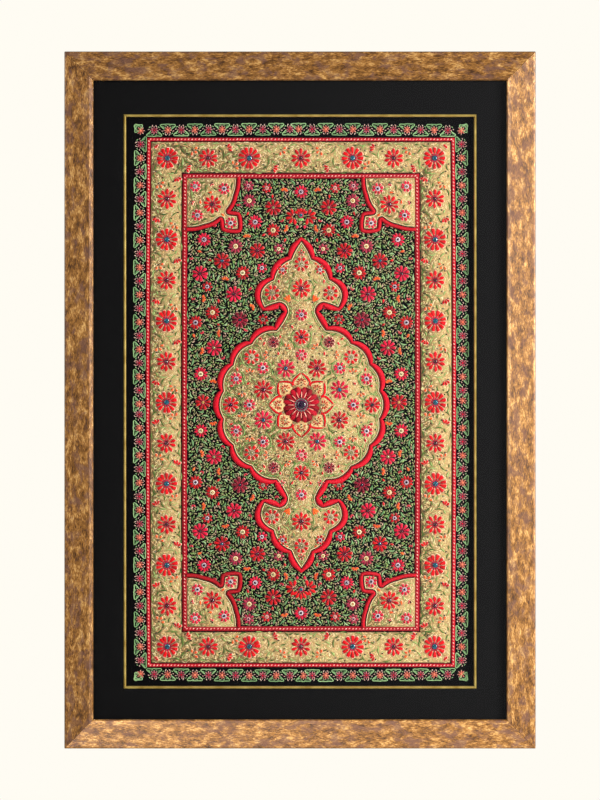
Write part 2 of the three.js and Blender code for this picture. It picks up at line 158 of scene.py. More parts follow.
# Sprigs by kind: thread and number of petals, how far they spread to each side, their inner and outer
# reach, their width, and whether there is a dot where they meet
SPRIGS = {
    "orange": ("orange", 3, 1.05, (2.4, 7.8), 3.3, True),
    "red": ("scarlet", 3, 0.62, (1.4, 8.6), 3.2, False),
    "fan": ("orange", 3, 0.95, (1.6, 7.0), 2.7, True),
    "tulip": ("orange", 3, 0.36, (0.6, 11.5), 3.4, True),
    "bud": ("orange", 1, 0, (-2.6, 2.6), 2.8, False),
    "almond": ("orange", 1, 0, (-3.4, 3.4), 3.4, False),
    "drop": ("scarlet", 1, 0, (-2.9, 2.9), 3.0, False),
    "tiny_red": ("crimson", 2, 0.5, (0.6, 4.4), 2.0, True),
    "flame": ("orange", 4, 1.0, (1.0, 5.8), 2.7, True),
    "short_red": ("scarlet", 3, 0.7, (0.6, 5.0), 2.4, False),
}

# Flowers of the main border: pitch along the long sides, and places along the short ones
BORDER_LINE = (178.5, 327)
LONG_SIDE_PITCHES = 6
SHORT_SIDE_PLACES = [(0, "pointed"), (69, "round"), (124, "pointed")]

# One gap of the border between two flowers: places along it from the flower nearer the corner, and
# across it, with the sides changed in every second gap. Here and below a leaf is its place, angle in
# degrees, length and bend, and a sprig is its place, angle and kind
BORDER_GAP = 54.5
GAP_LEAVES = [
    (10, 18.5, 5, 12, 1.6), (19, 5, 95, 13, -2), (21, -10, 48, 10, 0.8), (27, 4.5, 25, 10, 1.4),
    (17, 13.5, 150, 7, 1.2), (24, -17.5, 5, 6, -0.8), (36, 3.5, 15, 8, -1.2), (39, 15.5, 130, 9, -1.6),
    (32, 19.5, 175, 6, 0.8), (46, -16, 160, 12, 2.4), (44, 18, 20, 7, -1), (12, -17.5, 165, 10, -1.6),
    (29, -4, 160, 7, 1.2), (50.5, 17.5, 170, 7, 1), (41, -8, 55, 6, -1),
]
GAP_SPRIGS = [(24, 12.4, 20, "red"), (33.5, -11.2, 37, "orange")]
GAP_DOTS = [
    (15, 9), (24, 17), (31, 8.5), (26, -6), (38, 10.5), (18, -15), (44, 12), (42, -13), (37, -3),
    (8, -19),
]
# From the flower in a corner of the border to the short sprig outside it
CORNER_SPRIG_OFFSET = (16.6, 17.6)

# One quarter of what is worked inside the medallion and its pendants, mirrored four ways. A flower is
# its place, kind, and the thread of its petals, its stone, its ring and its size
MEDALLION_FLOWERS = [
    (69, 0, "ring", "crimson", "dark", "pale", 1),
    (51, 49.5, "ring", "crimson", "dark", "pale", 1),
    (66, 64, "button", "scarlet", "jade", "bronze", 1),
    (94, 0, "bloom", "scarlet", "dark", "pale", 1),
    (86.5, 35, "ring", "crimson", "dark", "pale", 1),
    (0, 67, "ring", "crimson", "jade", "rose", 1),
    (0, 91, "bloom", "scarlet", "dark", "pale", 1),
    (37, 84, "bloom", "wine", "dark", "pale", 0.72),
    (0, 120.5, "ring", "crimson", "dark", "pale", 1),
    (0, 156, "star", "scarlet", "garnet", "pale", 1),
    (39, 150, "button", "scarlet", "jade", "bronze", 1),
    (0, 188.5, "button", "scarlet", "jade", "bronze", 1),
    (25, 181, "small", "red", "dark", "pale", 1),
    (26, 105, "tiny", "crimson", "dark", "pale", 1),
    (0, 203.5, "tiny", "red", "dark", "pale", 1),
]
MEDALLION_SPRIGS = [
    (79, 17.5, 270, "fan"), (68.5, 42.5, 90, "fan"), (44, 67, 0, "fan"), (20, 76, 130, "fan"),
    (15, 137, 60, "tulip"), (92.5, 25.5, 0, "drop"), (70.5, 28.8, 330, "drop"), (85, 47, 80, "drop"),
    (30.5, 68.5, 80, "drop"), (49.5, 82, 120, "drop"), (28, 91, 90, "drop"), (54, 88.5, 35, "drop"),
    (30, 165, 80, "drop"), (19.5, 189, 150, "bud"), (12, 104, 60, "drop"),
]
MEDALLION_LEAVES = [
    (80, 9.5, 150, 8, 1.4), (63.5, 11.5, 60, 7, 1.4), (98, 15, 70, 8, 1), (76.5, 32, 75, 11, -2),
    (63.5, 33, 30, 7, 1.2), (96, 42, 130, 8, 1.2), (68, 52.5, 10, 11, 2.6), (82, 55, 100, 8, 1),
    (39.5, 33, 45, 10, 2), (37.5, 43, 85, 8, -1.4), (38, 56.5, 100, 6, 1), (53, 65, 65, 9, -1.8),
    (60, 79, 20, 8, 1.2), (44.5, 93.5, 30, 8, 1.4), (11.5, 79.5, 70, 11, 2.4), (26, 81.5, 60, 6, 1),
    (5, 37, 100, 8, 1.4), (14, 61, 150, 6, 1), (88, 22, 110, 7, -1.2), (12, 110, 160, 8, 1.2),
    (15, 122.5, 80, 9, -1.4), (24, 146, 75, 9, 1.6), (19.5, 166, 135, 10, 1.4), (47, 160.5, 55, 9, -1.4),
    (51, 143, 95, 9, -1.2), (11, 174.5, 100, 7, 1.2), (17.5, 180, 80, 9, -1.6), (10.5, 199, 60, 8, 1.4),
    (43.5, 136, 30, 7, 1), (90, 60, 120, 8, 1.2),
]
# Curled stems round some of the flowers: place, radius, and the angles from which and to which they run
MEDALLION_STEMS = [
    (20.8, 48.8, 16.8, 195, 345), (50.5, 20.0, 16.8, 255, 105), (66, 64, 13.6, 200, 395),
    (37, 84, 10.6, 60, 255), (86.5, 35, 10.8, 120, 300), (0, 91, 13.4, 275, 400), (0, 91, 13.4, 265, 140),
    (94, 0, 13.6, 60, 175), (94, 0, 13.6, -60, -175), (39, 150, 13.0, 150, 330), (0, 156, 16.6, 280, 400),
    (0, 156, 16.6, 260, 140), (51, 49.5, 10.4, 110, 300),
]
MEDALLION_DOTS = [
    (83, 11), (66, 14.5), (36, 13.5), (98.5, 33), (80, 23.5), (68, 49.5), (55, 37), (43.5, 36.5),
    (15.5, 35), (15, 64.5), (24, 68.5), (34, 66), (41, 73), (37, 95.5), (18, 95), (83, 62), (10.5, 143),
    (30, 173.5), (47, 134), (24, 150), (12, 177), (64, 92), (14.5, 106), (22, 113), (5, 57), (57, 8),
    (7, 108), (29, 128),
]

# The large flowers round the dome, in turn pink with a teal stone and red with a dark one: their number
# and how far off they are across and up
STAR_COUNT = 8
STAR_REACH = (54.7, 53.0)

# The line of short leaves inside the medallion's outline
LEAF_LINE_INSET = 4.0
LEAF_LINE_PITCH = 6.2

# What is worked in a corner piece, inwards from the field's corner
CORNER_FLOWERS = [
    (33, 34.5, "star", "scarlet", "garnet", "pale", 1),
    (10, 10.5, "ring", "crimson", "jade", "pale", 0.95),
    (48.5, 13.5, "ring", "crimson", "dark", "pale", 1),
    (13, 49, "ring", "crimson", "dark", "pale", 1),
    (57.5, 59.5, "ring", "crimson", "dark", "pale", 1),
]
CORNER_SPRIGS = [
    (30, 18.5, 0, "almond"), (17, 31, 90, "almond"), (47, 48.5, 45, "almond"), (31.5, 6, 70, "tiny_red"),
    (4.7, 31.5, 20, "tiny_red"),
]
CORNER_LEAVES = [
    (19, 17, 135, 10, 1.8), (38, 13, 20, 8, 1.2), (13, 38, 70, 7, -1.2), (21, 46, 140, 9, 1.4),
    (43, 22.5, 130, 7, -1.4), (60, 10, 100, 12, 1.4), (10, 60, 170, 10, -1.4), (25, 12, 95, 9, 1),
    (49, 32, 95, 9, 1.6), (33, 49, 175, 9, -1.6), (23, 56, 160, 10, 1.6), (53, 22, 100, 9, -1.6),
    (20, 4.5, 0, 9, 1.2), (4.5, 20, 90, 9, -1.2), (62, 64, 45, 5, 0.8),
]
CORNER_DOTS = [
    (22, 22), (38, 44), (45, 38), (28, 20), (20, 28), (5, 33), (33, 5), (52, 44), (44, 52), (50, 8),
]

# One quarter of the flowers of the dark field: place, kind, and the thread of petals, ring and stone
FIELD_FLOWERS = [
    (0, 282, "wheel", "crimson", "pale", "dark"),
    (37, 261, "bloom", "red", "straw", "jade"),
    (69, 270, "wheel", "mauve", "straw", "amber"),
    (61, 241.5, "wheel", "crimson", "pale", "dark"),
    (37, 230.5, "wheel", "red", "straw", "jade"),
    (129, 218, "wheel", "crimson", "pale", "dark"),
    (87, 209, "wheel", "mauve", "straw", "amber"),
    (58, 203, "bloom", "red", "straw", "garnet"),
    (105, 189.5, "bloom", "red", "straw", "teal"),
    (77.5, 173.5, "wheel", "red", "straw", "jade"),
    (134, 172.5, "bloom", "crimson", "straw", "garnet"),
    (89, 145, "bloom", "crimson", "straw", "garnet"),
    (117.5, 120.5, "wheel", "red", "straw", "amber"),
    (140, 107, "wheel", "red", "pale", "dark"),
    (81, 110.5, "bloom", "wine", "straw", "dark"),
    (115.5, 73, "bloom", "crimson", "straw", "jade"),
    (133, 38, "wheel", "crimson", "straw", "jade"),
    (130, 0, "bloom", "red", "straw", "amber"),
    (70, 290, "small", "mauve", "rose", "dark"),
    (45.5, 287, "small", "red", "rose", "amber"),
    (29.5, 205.5, "small", "mauve", "straw", "amber"),
    (52, 180, "small", "crimson", "pale", "dark"),
    (124.5, 155, "small", "red", "pale", "dark"),
    (50.5, 111, "small", "red", "bronze", "dark"),
]

# The sprigs and buds between them: place, angle in degrees and kind
FIELD_SPRIGS = [
    (22.5, 282, 100, "flame"), (22.5, 233.5, 200, "flame"), (72, 220, 90, "flame"),
    (101, 163, 100, "flame"), (132, 139, 180, "flame"), (67, 126.5, 150, "flame"),
    (106.5, 92.5, 0, "flame"), (134, 69, 190, "flame"), (117, 25.5, 100, "flame"),
    (134.5, 202, 20, "almond"), (142, 89, 60, "almond"), (38, 275.5, 90, "drop"),
    (71, 252.5, 120, "drop"), (50, 224, 150, "drop"), (21.5, 217, 100, "drop"), (120.5, 190, 20, "drop"),
    (109.5, 135.5, 80, "drop"), (109.5, 104, 45, "drop"), (24, 241, 60, "tiny_red"),
    (115, 234, 90, "tiny_red"), (143, 136, 90, "tiny_red"), (130, 91, 60, "tiny_red"),
    (75, 94.5, 120, "tiny_red"), (102, 57, 60, "tiny_red"), (32, 124, 90, "tiny_red"),
    (83, 262, 80, "tiny_red"), (66, 150, 50, "tiny_red"), (146, 190, 90, "tiny_red"),
]

# The flower seen from the side, above and below the medallion: its place, and which way it faces with
# the reach of its crown
LOTUS_PLACE = 250.5
LOTUSES = [(1, 9.8), (-1, 13.8)]

# The leaves of the field: how many places are tried, the room between them and the shares of their greens
LEAF_TRIES = 12000
LEAF_CLEARANCE = 2.6
LEAF_SHARES = {"leaf_green": 0.55, "leaf_pale": 0.35, "leaf_deep": 0.1}

# The small stitches over the rest: how many places are tried, how far they may lie over each other, how
# their angle sways, the least and the most of their length, width and bend, and the shares of threads
STITCH_TRIES = 140000
TAN_OVERLAP, FIELD_OVERLAP = 0.12, 0.08
TAN_CURLS = (0.35, (3.6, 6.0), (1.15, 1.4), (0.3, 1.1))
FIELD_CURLS = (0.8, (2.8, 4.8), (1.5, 2.1), (0.2, 0.9))
TAN_SHARES = {"tan": 0.36, "straw": 0.24, "moss": 0.28, "ochre": 0.12}
FIELD_SHARES = {"field_tan": 0.34, "field_olive": 0.28, "field_rose": 0.12, "leaf_light": 0.26}

# The domed flower in the middle and the stone on it
DOME_PROFILE = [(24.4, 0), (24.4, 1.0), (17.4, 2.4), (15.2, 2.7), (8.7, 4.4), (0.01, 4.6)]
DOME_TOP = 4.6
DOME_RADIUS = 25.2
DOME_PETALS = 16
DOME_BEADS = 24
DOME_BEAD_REACH = 8.0
DOME_RING_RADIUS = 7.1
# Its petals and lines: thread, form, inner and outer reach, width, height at both, and turn in petals
DOME_TIERS = [
    ("dome_petals", "lens", (10.4, 25.2), 7.4, (3.6, 0.9), 0.5),
    ("dome_lines", "stitch", (9.2, 18.2), 1.8, (4.9, 3.4), 0),
    ("dome_hearts", "blob", (8.4, 12.2), 3.0, (4.4, 3.7), 0.5),
]
STONE_LEVEL = 5.3
STONE_RADIUS = 5.9

# Fine lines along the inside of the padded outlines
FINE_LEVEL = 0.6
FINE_LINES = [
    {"thread": "dark_line", "distance": 0.5, "width": 1.1, "height": 1.3},
    {"thread": "pale_line", "distance": 1.7, "width": 1.3, "height": 1.3},
]

# The pointed arches round the dome, with the right side of one from its foot to its tip
ARCH_COUNT = 8
ARCH_SIDE = [(26.0, 8.8), (27.6, 10.8), (30.2, 11.3), (33.4, 9.9), (36.6, 7.3), (39.8, 4.0), (42.4, 0.9)]
ARCH_FOOT, ARCH_DOT_REACH, ARCH_FLOWER_REACH = 20, 26.4, 29.8
ARCH_TRIES = 4000
ARCH_SHARES = {"straw": 0.5, "ochre": 0.3, "moss": 0.2}

# The vine border: flowers along its middle line, with a scroll on the outside of every second one and
# on the inside of the others. Half a scroll runs from the flower to the middle of its flat side
VINE_LINE = (214.6, 363.8)
VINE_SWELL = 2.0
VINE_COUNTS = {"x": 24, "y": 40}
VINE_SHORT_GAP = {"x": 11.8, "y": 13.8}
# The two narrow scrolls of a corner: how far aside they lie, and their stretch
VINE_CORNER_SHIFT = 3.2
VINE_CORNER_STRETCH = 0.56
HALF_SCROLL = [(-4.4, 1.2), (-7.4, 3.4), (-9.9, 6.0), (-8.9, 7.6), (-4.6, 7.6), (0, 7.9)]
# The leaves in a scroll and the tips across from it: place, angle in degrees, length, width and thread
SCROLL_LEAVES = [
    (6.6, 4.6, -25, 4.6, 1.9, "leaf_green"), (2.7, 5.9, 10, 3.4, 1.3, "leaf_pale"),
]
SCROLL_TIPS = [
    (2.6, -5.9, -60, 3.2, 1.5, "vine_tip"), (6.0, -4.4, -35, 3.0, 1.4, "vine_green"),
    (7.4, -1.2, -20, 2.6, 1.3, "vine_tip"),
]

# Ridges of thread for each millimetre, along and across the stitch, and the lustre of a thread: its
# roughness, its mirroring and how far its stitches differ in shade
ALONG_CORD = (1.1, 0.7)
SATIN_ALONG = (0.0, 2.2)
SATIN_ACROSS = (1.9, 0.35)
MATT = {"roughness": 0.6, "specular": 0.15, "spread": 0.6}
SATIN = {"roughness": 0.5, "specular": 0.18, "spread": 0.5}

# Each thread's finish: its deep and light shades, the run of its ridges, and its lustre
FINISHES = {
    "mauve": ((132, 14, 44), (188, 50, 80), SATIN_ALONG, SATIN),
    "arch_petals": ((156, 0, 10), (206, 12, 24), SATIN_ALONG, SATIN),
    "field_halo": ((190, 92, 96), (228, 146, 132), SATIN_ALONG, MATT),
    "grey_beads": ((120, 112, 108), (172, 162, 156), ALONG_CORD, MATT),
    "bronze": ((140, 118, 96), (190, 168, 142), ALONG_CORD, MATT),
    "tan_padding": ((168, 138, 92), (192, 160, 112), SATIN_ALONG, MATT),
    "border_padding": ((168, 138, 92), (192, 160, 112), SATIN_ALONG, MATT),
    "tan": ((206, 170, 112), (240, 210, 154), ALONG_CORD, MATT),
    "straw": ((222, 194, 140), (250, 230, 184), ALONG_CORD, MATT),
    "moss": ((158, 168, 98), (198, 208, 138), ALONG_CORD, MATT),
    "ochre": ((208, 152, 94), (234, 188, 134), ALONG_CORD, MATT),
    "peach": ((212, 166, 112), (236, 200, 150), ALONG_CORD, MATT),
    "halo": ((240, 172, 140), (252, 206, 176), SATIN_ALONG, MATT),
    "stems": ((104, 138, 70), (146, 178, 104), ALONG_CORD, MATT),
    "field_tan": ((150, 134, 96), (190, 172, 130), ALONG_CORD, MATT),
    "field_olive": ((112, 124, 78), (152, 164, 112), ALONG_CORD, MATT),
    "field_rose": ((178, 140, 120), (214, 180, 158), ALONG_CORD, MATT),
    "leaf_green": ((92, 138, 86), (132, 170, 116), SATIN_ACROSS, MATT),
    "leaf_pale": ((130, 166, 110), (164, 194, 140), SATIN_ACROSS, MATT),
    "leaf_deep": ((56, 92, 44), (90, 126, 70), SATIN_ACROSS, MATT),
    "leaf_olive": ((66, 94, 40), (104, 132, 60), SATIN_ACROSS, MATT),
    "leaf_light": ((132, 160, 86), (170, 194, 120), SATIN_ACROSS, MATT),
    "leaf_bright": ((84, 176, 78), (132, 220, 116), SATIN_ACROSS, MATT),
    "vine_green": ((118, 158, 106), (162, 198, 142), ALONG_CORD, MATT),
    "vine_tip": ((206, 160, 150), (236, 208, 190), ALONG_CORD, MATT),
    "scarlet": ((170, 0, 6), (238, 0, 16), SATIN_ALONG, SATIN),
    "red": ((150, 0, 8), (214, 0, 14), SATIN_ALONG, SATIN),
    "crimson": ((176, 0, 34), (240, 8, 66), SATIN_ALONG, SATIN),
    "wine": ((96, 4, 24), (150, 16, 44), SATIN_ALONG, SATIN),
    "pink": ((150, 62, 78), (198, 108, 116), SATIN_ALONG, MATT),
    "coral": ((186, 88, 74), (220, 126, 104), SATIN_ALONG, MATT),
    "ember": ((222, 104, 80), (238, 132, 104), ALONG_CORD, MATT),
    "orange": ((228, 72, 20), (250, 116, 44), SATIN_ALONG, SATIN),
    "pale": ((172, 148, 162), (218, 200, 210), ALONG_CORD, MATT),
    "rose": ((210, 130, 140), (240, 176, 176), ALONG_CORD, MATT),
    "rays": ((150, 4, 36), (214, 44, 80), SATIN_ALONG, SATIN),
    "hearts": ((60, 20, 34), (110, 50, 60), SATIN_ALONG, MATT),
    "outer_guard": ((140, 0, 14), (206, 0, 36), SATIN_ACROSS, SATIN),
    "inner_guard": ((134, 0, 14), (196, 0, 36), SATIN_ACROSS, SATIN),
    "guard_beads": ((244, 120, 120), (255, 190, 176), ALONG_CORD, MATT),
    "medallion_outline": ((156, 0, 16), (214, 0, 34), SATIN_ACROSS, SATIN),
    "corner_outlines": ((156, 0, 16), (214, 0, 34), SATIN_ACROSS, SATIN),
    "arch_cord": ((190, 0, 10), (236, 2, 24), ALONG_CORD, SATIN),
    "pale_line": ((222, 196, 146), (246, 224, 180), ALONG_CORD, MATT),
    "dark_line": ((46, 34, 26), (76, 56, 42), ALONG_CORD, MATT),
    "dome_padding": ((96, 0, 14), (140, 4, 26), SATIN_ALONG, MATT),
    "dome_petals": ((112, 0, 12), (204, 0, 36), SATIN_ALONG, SATIN),
    "dome_lines": ((240, 140, 124), (255, 184, 164), SATIN_ALONG, MATT),
    "dome_hearts": ((140, 0, 20), (206, 12, 44), SATIN_ALONG, SATIN),
    "dome_ring": ((84, 6, 48), (130, 16, 70), ALONG_CORD, SATIN),
}
STONES = {
    "teal": ((6, 44, 62), (24, 92, 112)),
    "garnet": ((38, 8, 16), (86, 16, 30)),
    "dark": ((10, 10, 22), (30, 26, 46)),
    "dots": ((10, 14, 12), (26, 40, 26)),
    "amber": ((150, 104, 50), (196, 150, 90)),
    "jade": ((96, 92, 56), (150, 140, 92)),
}

# The camera: how far in front of the frame it stands, and its lens in millimetres
CAMERA_DISTANCE = 3.552
CAMERA_LENS = 120

# Each light's place, what it points at, its size, power and colour; then the strength of the world all
# round, and of what the glass mirrors of it from left to right
KEY = ((2.2, -1.4, -0.05), (0, 0, -0.45), (1.0, 1.4), 142, (1, 0.98, 0.95))
FILL = ((-1.9, -2.2, 0.5), (0, 0, -0.45), (1.6, 1.6), 27, (0.97, 0.98, 1))
RAIL_GLOSS = ((-1.0, -3.4, 0.15), (0.2, 0, -0.5), (0.9, 1.3), 120, (1, 0.97, 0.92))
WORLD_STRENGTH = 0.45
MIRRORED_ROOM = (0.02, 0.3)


def srgb(red, green, blue):
    """A linear colour from the usual numbers up to 255."""
    channels = np.array([red, green, blue]) / 255
    linear = np.where(channels <= 0.04045, channels / 12.92, ((channels + 0.055) / 1.055) ** 2.4)
    return (*[float(c) for c in linear], 1.0)


# Points and ways in the drawing


def bowed(x, y):
    """The drawing with its long sides bowed outwards a little, as in the handwork."""
    return x + SIDE_BOW * (x / WORK_HALF[0]) * (1 - (y / WORK_HALF[1]) ** 2), y


def on_cloth(x, y, up):
    """Points of the drawing in the frame's metres."""
    x, y = bowed(x, y)
    places = [
        middle.x + (WORK_OFFSET[0] + x) * MM,
        cloth_face - up * MM,
        middle.z + (WORK_OFFSET[1] + y) * MM,
    ]
    return np.stack(np.broadcast_arrays(*places), axis=-1)


def arc_points(start, end, bulge, step=2.0):
    """Points of a shallow arc after its start, bulging to the right of the way."""
    start, end = np.array(start, float), np.array(end, float)
    way = end - start
    length = math.hypot(*way)
    steps = max(2, round(length / step))
    t = np.arange(1, steps + 1) / steps
    swell = 4 * t * (1 - t)
    aside = np.array([way[1], -way[0]]) / length
    return start + np.outer(t, way) + np.outer(swell * bulge, aside), swell


def chain_of(start, arcs):
    """Points of arcs that follow each other, and how far each point is out of its arc's ends."""
    points, swells = [np.array([start], float)], [np.zeros(1)]
    for arc in arcs:
        more, swell = arc_points(points[-1][-1], arc["end"], arc["bulge"])
        points.append(more)
        swells.append(swell)
    return np.concatenate(points), np.concatenate(swells)


def medallion_edge():
    """The medallion's closed edge, anticlockwise, and the width of the padded band outside it."""
    lobe = np.arange(int(LOBES_PER_QUARTER * LOBE_STEPS) + 1) / LOBE_STEPS
    t = (lobe + 0.5) % 1
    swell = 4 * t * (1 - t)
    radius = CUSP_RADIUS + (BULGE_RADIUS - CUSP_RADIUS) * swell
    round_part = np.stack([radius * np.cos(lobe * LOBE_ANGLE), radius * np.sin(lobe * LOBE_ANGLE)], 1)
    pendant, pendant_swell = chain_of(round_part[-1], PENDANT_ARCS)
    quarter = np.concatenate([round_part, pendant[1:]])
    swells = np.concatenate([swell, pendant_swell[1:]])
    half = np.concatenate([quarter, quarter[-2:0:-1] * (-1, 1)])
    half_swells = np.concatenate([swells, swells[-2:0:-1]])
    edge = np.concatenate([half, half * (-1, -1)])
    widths = CUSP_BAND + (BULGE_BAND - CUSP_BAND) * np.concatenate([half_swells, half_swells])
    widths[np.abs(edge[:, 0]) < 0.01] = TIP_BAND
    return edge, widths


def corner_edge():
    """A corner piece's open edge, inwards from the field's corner, symmetric over the diagonal."""
    half, _ = chain_of(CORNER_START, CORNER_ARCS)
    return np.concatenate([half, half[-2::-1, ::-1]])


def aside_of(path, closed):
    """The direction to the right of the way at each point of a path."""
    if closed:
        before, after = np.roll(path, 1, axis=0), np.roll(path, -1, axis=0)
    else:
        before = np.concatenate([path[:1], path[:-1]])
        after = np.concatenate([path[1:], path[-1:]])
    way = after - before
    way /= np.linalg.norm(way, axis=1, keepdims=True)
    return np.stack([way[:, 1], -way[:, 0]], 1)


def moved(path, distance, closed):
    """A path moved to the right of its way."""
    return path + aside_of(path, closed) * np.reshape(distance, (-1, 1))


def sides_of(half):
    """The corners of a rectangle, anticlockwise, each with the way to the next one."""
    corners = CORNERS * half
    return list(zip(corners, np.roll(corners, -1, axis=0) - corners))


def rectangle(half, steps=None):
    """A closed rectangle with points close enough together to bow, or in given steps for its sides."""
    steps = steps or [round(math.hypot(*way) / BOW_STEP) for _, way in sides_of(half)]
    sides = [corner + np.outer(np.arange(n) / n, way) for n, (corner, way) in zip(steps, sides_of(half))]
    return np.concatenate(sides)


def turned(x, y, angle):
    """Points turned about the middle of the drawing."""
    return x * np.cos(angle) - y * np.sin(angle), x * np.sin(angle) + y * np.cos(angle)


def all_round(count):
    """Angles of a full turn in equal steps."""
    return np.arange(count) * 2 * math.pi / count


def around(x, y, reach, angles):
    """Points at a distance from a place, in several directions."""
    return x + reach * np.cos(angles), y + reach * np.sin(angles)


def four_ways(x, y, angle=0.0):
    """The mirror images of a place and a direction, less those that fall on each other. Each is given
    with 1, or with -1 where left and right are changed."""
    found = [(x, y, angle, 1)]
    if x:
        found.append((-x, y, math.pi - angle, -1))
    if y:
        found += [(px, -py, -way, -hand) for px, py, way, hand in found]
    return found


# Small closed forms, as points along, across and up in units, with their triangles


def skin(rings, sides, looped):
    """Triangles over rings of points, with one tip before and one after unless they form a loop."""
    first = np.arange(rings) * sides + (0 if looped else 1)
    here, there = (first, np.roll(first, -1)) if looped else (first[:-1], first[1:])
    k = np.arange(sides)
    a, b = here[:, None] + k, here[:, None] + (k + 1) % sides
    c, d = there[:, None] + k, there[:, None] + (k + 1) % sides
    triangles = [np.stack([a, c, d], 2).reshape(-1, 3), np.stack([a, d, b], 2).reshape(-1, 3)]
    if not looped:
        last = 1 + rings * sides
        start_ring, end_ring = 1 + k, last - sides + k
        triangles.append(np.stack([np.zeros_like(k), start_ring, np.roll(start_ring, -1)], 1))
        triangles.append(np.stack([end_ring, np.full_like(k, last), np.roll(end_ring, -1)], 1))
    return np.concatenate(triangles)


# Across a stitch from edge to edge, and how high it is there, by the number of points
SECTIONS = {3: ((-1, 0, 1), (0, 1, 0)), 5: ((-1, -0.7, 0, 0.7, 1), (0, 0.85, 1, 0.85, 0))}


def long_form(stations, sides, half_width, height):
    """A form from tip to tip, rounded above and flat below."""
    t = np.array(stations)
    over, arch = SECTIONS[sides]
    rings = np.stack(
        [
            np.repeat(t - 0.5, sides),
            np.outer(half_width(t), over).ravel(),
            np.outer(height(t), arch).ravel(),
        ],
        1,
    )
    points = np.concatenate([[(-0.5, 0, 0)], rings, [(0.5, 0, 0)]])
    return points, skin(len(t), sides, False)


def round_form(sides, profile):
    """A form turned about its middle: radius and height from the rim to just before the top."""
    angles = all_round(sides)
    rings = [np.stack([r * np.cos(angles), r * np.sin(angles), np.full(sides, h)], 1) for r, h in profile]
    bottom, top = (0, 0, 0), (0, 0, 1)
    return np.concatenate([[bottom], *rings, [top]]), skin(len(profile), sides, False)


def ring_form(sides, thickness):
    """A ring of round cord, lying flat, 1 from its middle to its outer edge."""
    section = [(0, 0), (0.15, 0.8), (0.85, 0.8), (1, 0)]
    points = [
        ((1 - thickness * a) * math.cos(angle), (1 - thickness * a) * math.sin(angle), up)
        for angle in all_round(sides)
        for a, up in section
    ]
    return np.array(points), skin(sides, len(section), True)


def blob_width(t):
    return 0.5 * (0.45 + 0.55 * t) * (1 - (2 * t - 1) ** 6) ** 0.5


def lens_width(t):
    return 0.5 * np.sin(math.pi * t**1.25) ** 0.8


def drop_width(t):
    return 0.5 * np.sin(math.pi * t**1.6) ** 0.9


def leaf_width(t):
    return 0.5 * np.sin(math.pi * t**0.8) ** 1.1


def stitch_width(t):
    return 0.5 * np.sin(math.pi * t) ** 0.35


def padded_height(t):
    return np.sin(math.pi * np.clip(t, 0.02, 0.98)) ** 0.5


def flat_height(t):
    return np.ones_like(t)


FORMS = {
    "blob": long_form([0.03, 0.2, 0.5, 0.8, 0.97], 5, blob_width, padded_height),
    "lens": long_form([0.08, 0.3, 0.52, 0.74, 0.93], 5, lens_width, padded_height),
    "drop": long_form([0.12, 0.4, 0.65, 0.85], 5, drop_width, padded_height),
    "leaf": long_form([0.1, 0.3, 0.5, 0.72, 0.9], 3, leaf_width, padded_height),
    "petal": long_form([0.15, 0.5, 0.85], 3, lens_width, padded_height),
    "stitch": long_form([0.12, 0.5, 0.88], 3, stitch_width, padded_height),
    "blob_halo": long_form([0.03, 0.3, 0.8, 0.97], 3, blob_width, flat_height),
    "lens_halo": long_form([0.1, 0.45, 0.85], 3, lens_width, flat_height),
    "drop_halo": long_form([0.15, 0.55, 0.85], 3, drop_width, flat_height),
    "bead": round_form(7, [(1, 0.1), (0.8, 0.75)]),
    "stone": round_form(14, [(1, 0.1), (0.95, 0.45), (0.72, 0.85), (0.35, 0.98)]),
    "disc": round_form(18, [(1, 0), (0.97, 0.9)]),
    "ring": ring_form(14, 0.54),
    "thin_ring": ring_form(28, 0.3),
}


# Threads and beads, each collected from all over the work and joined in one mesh


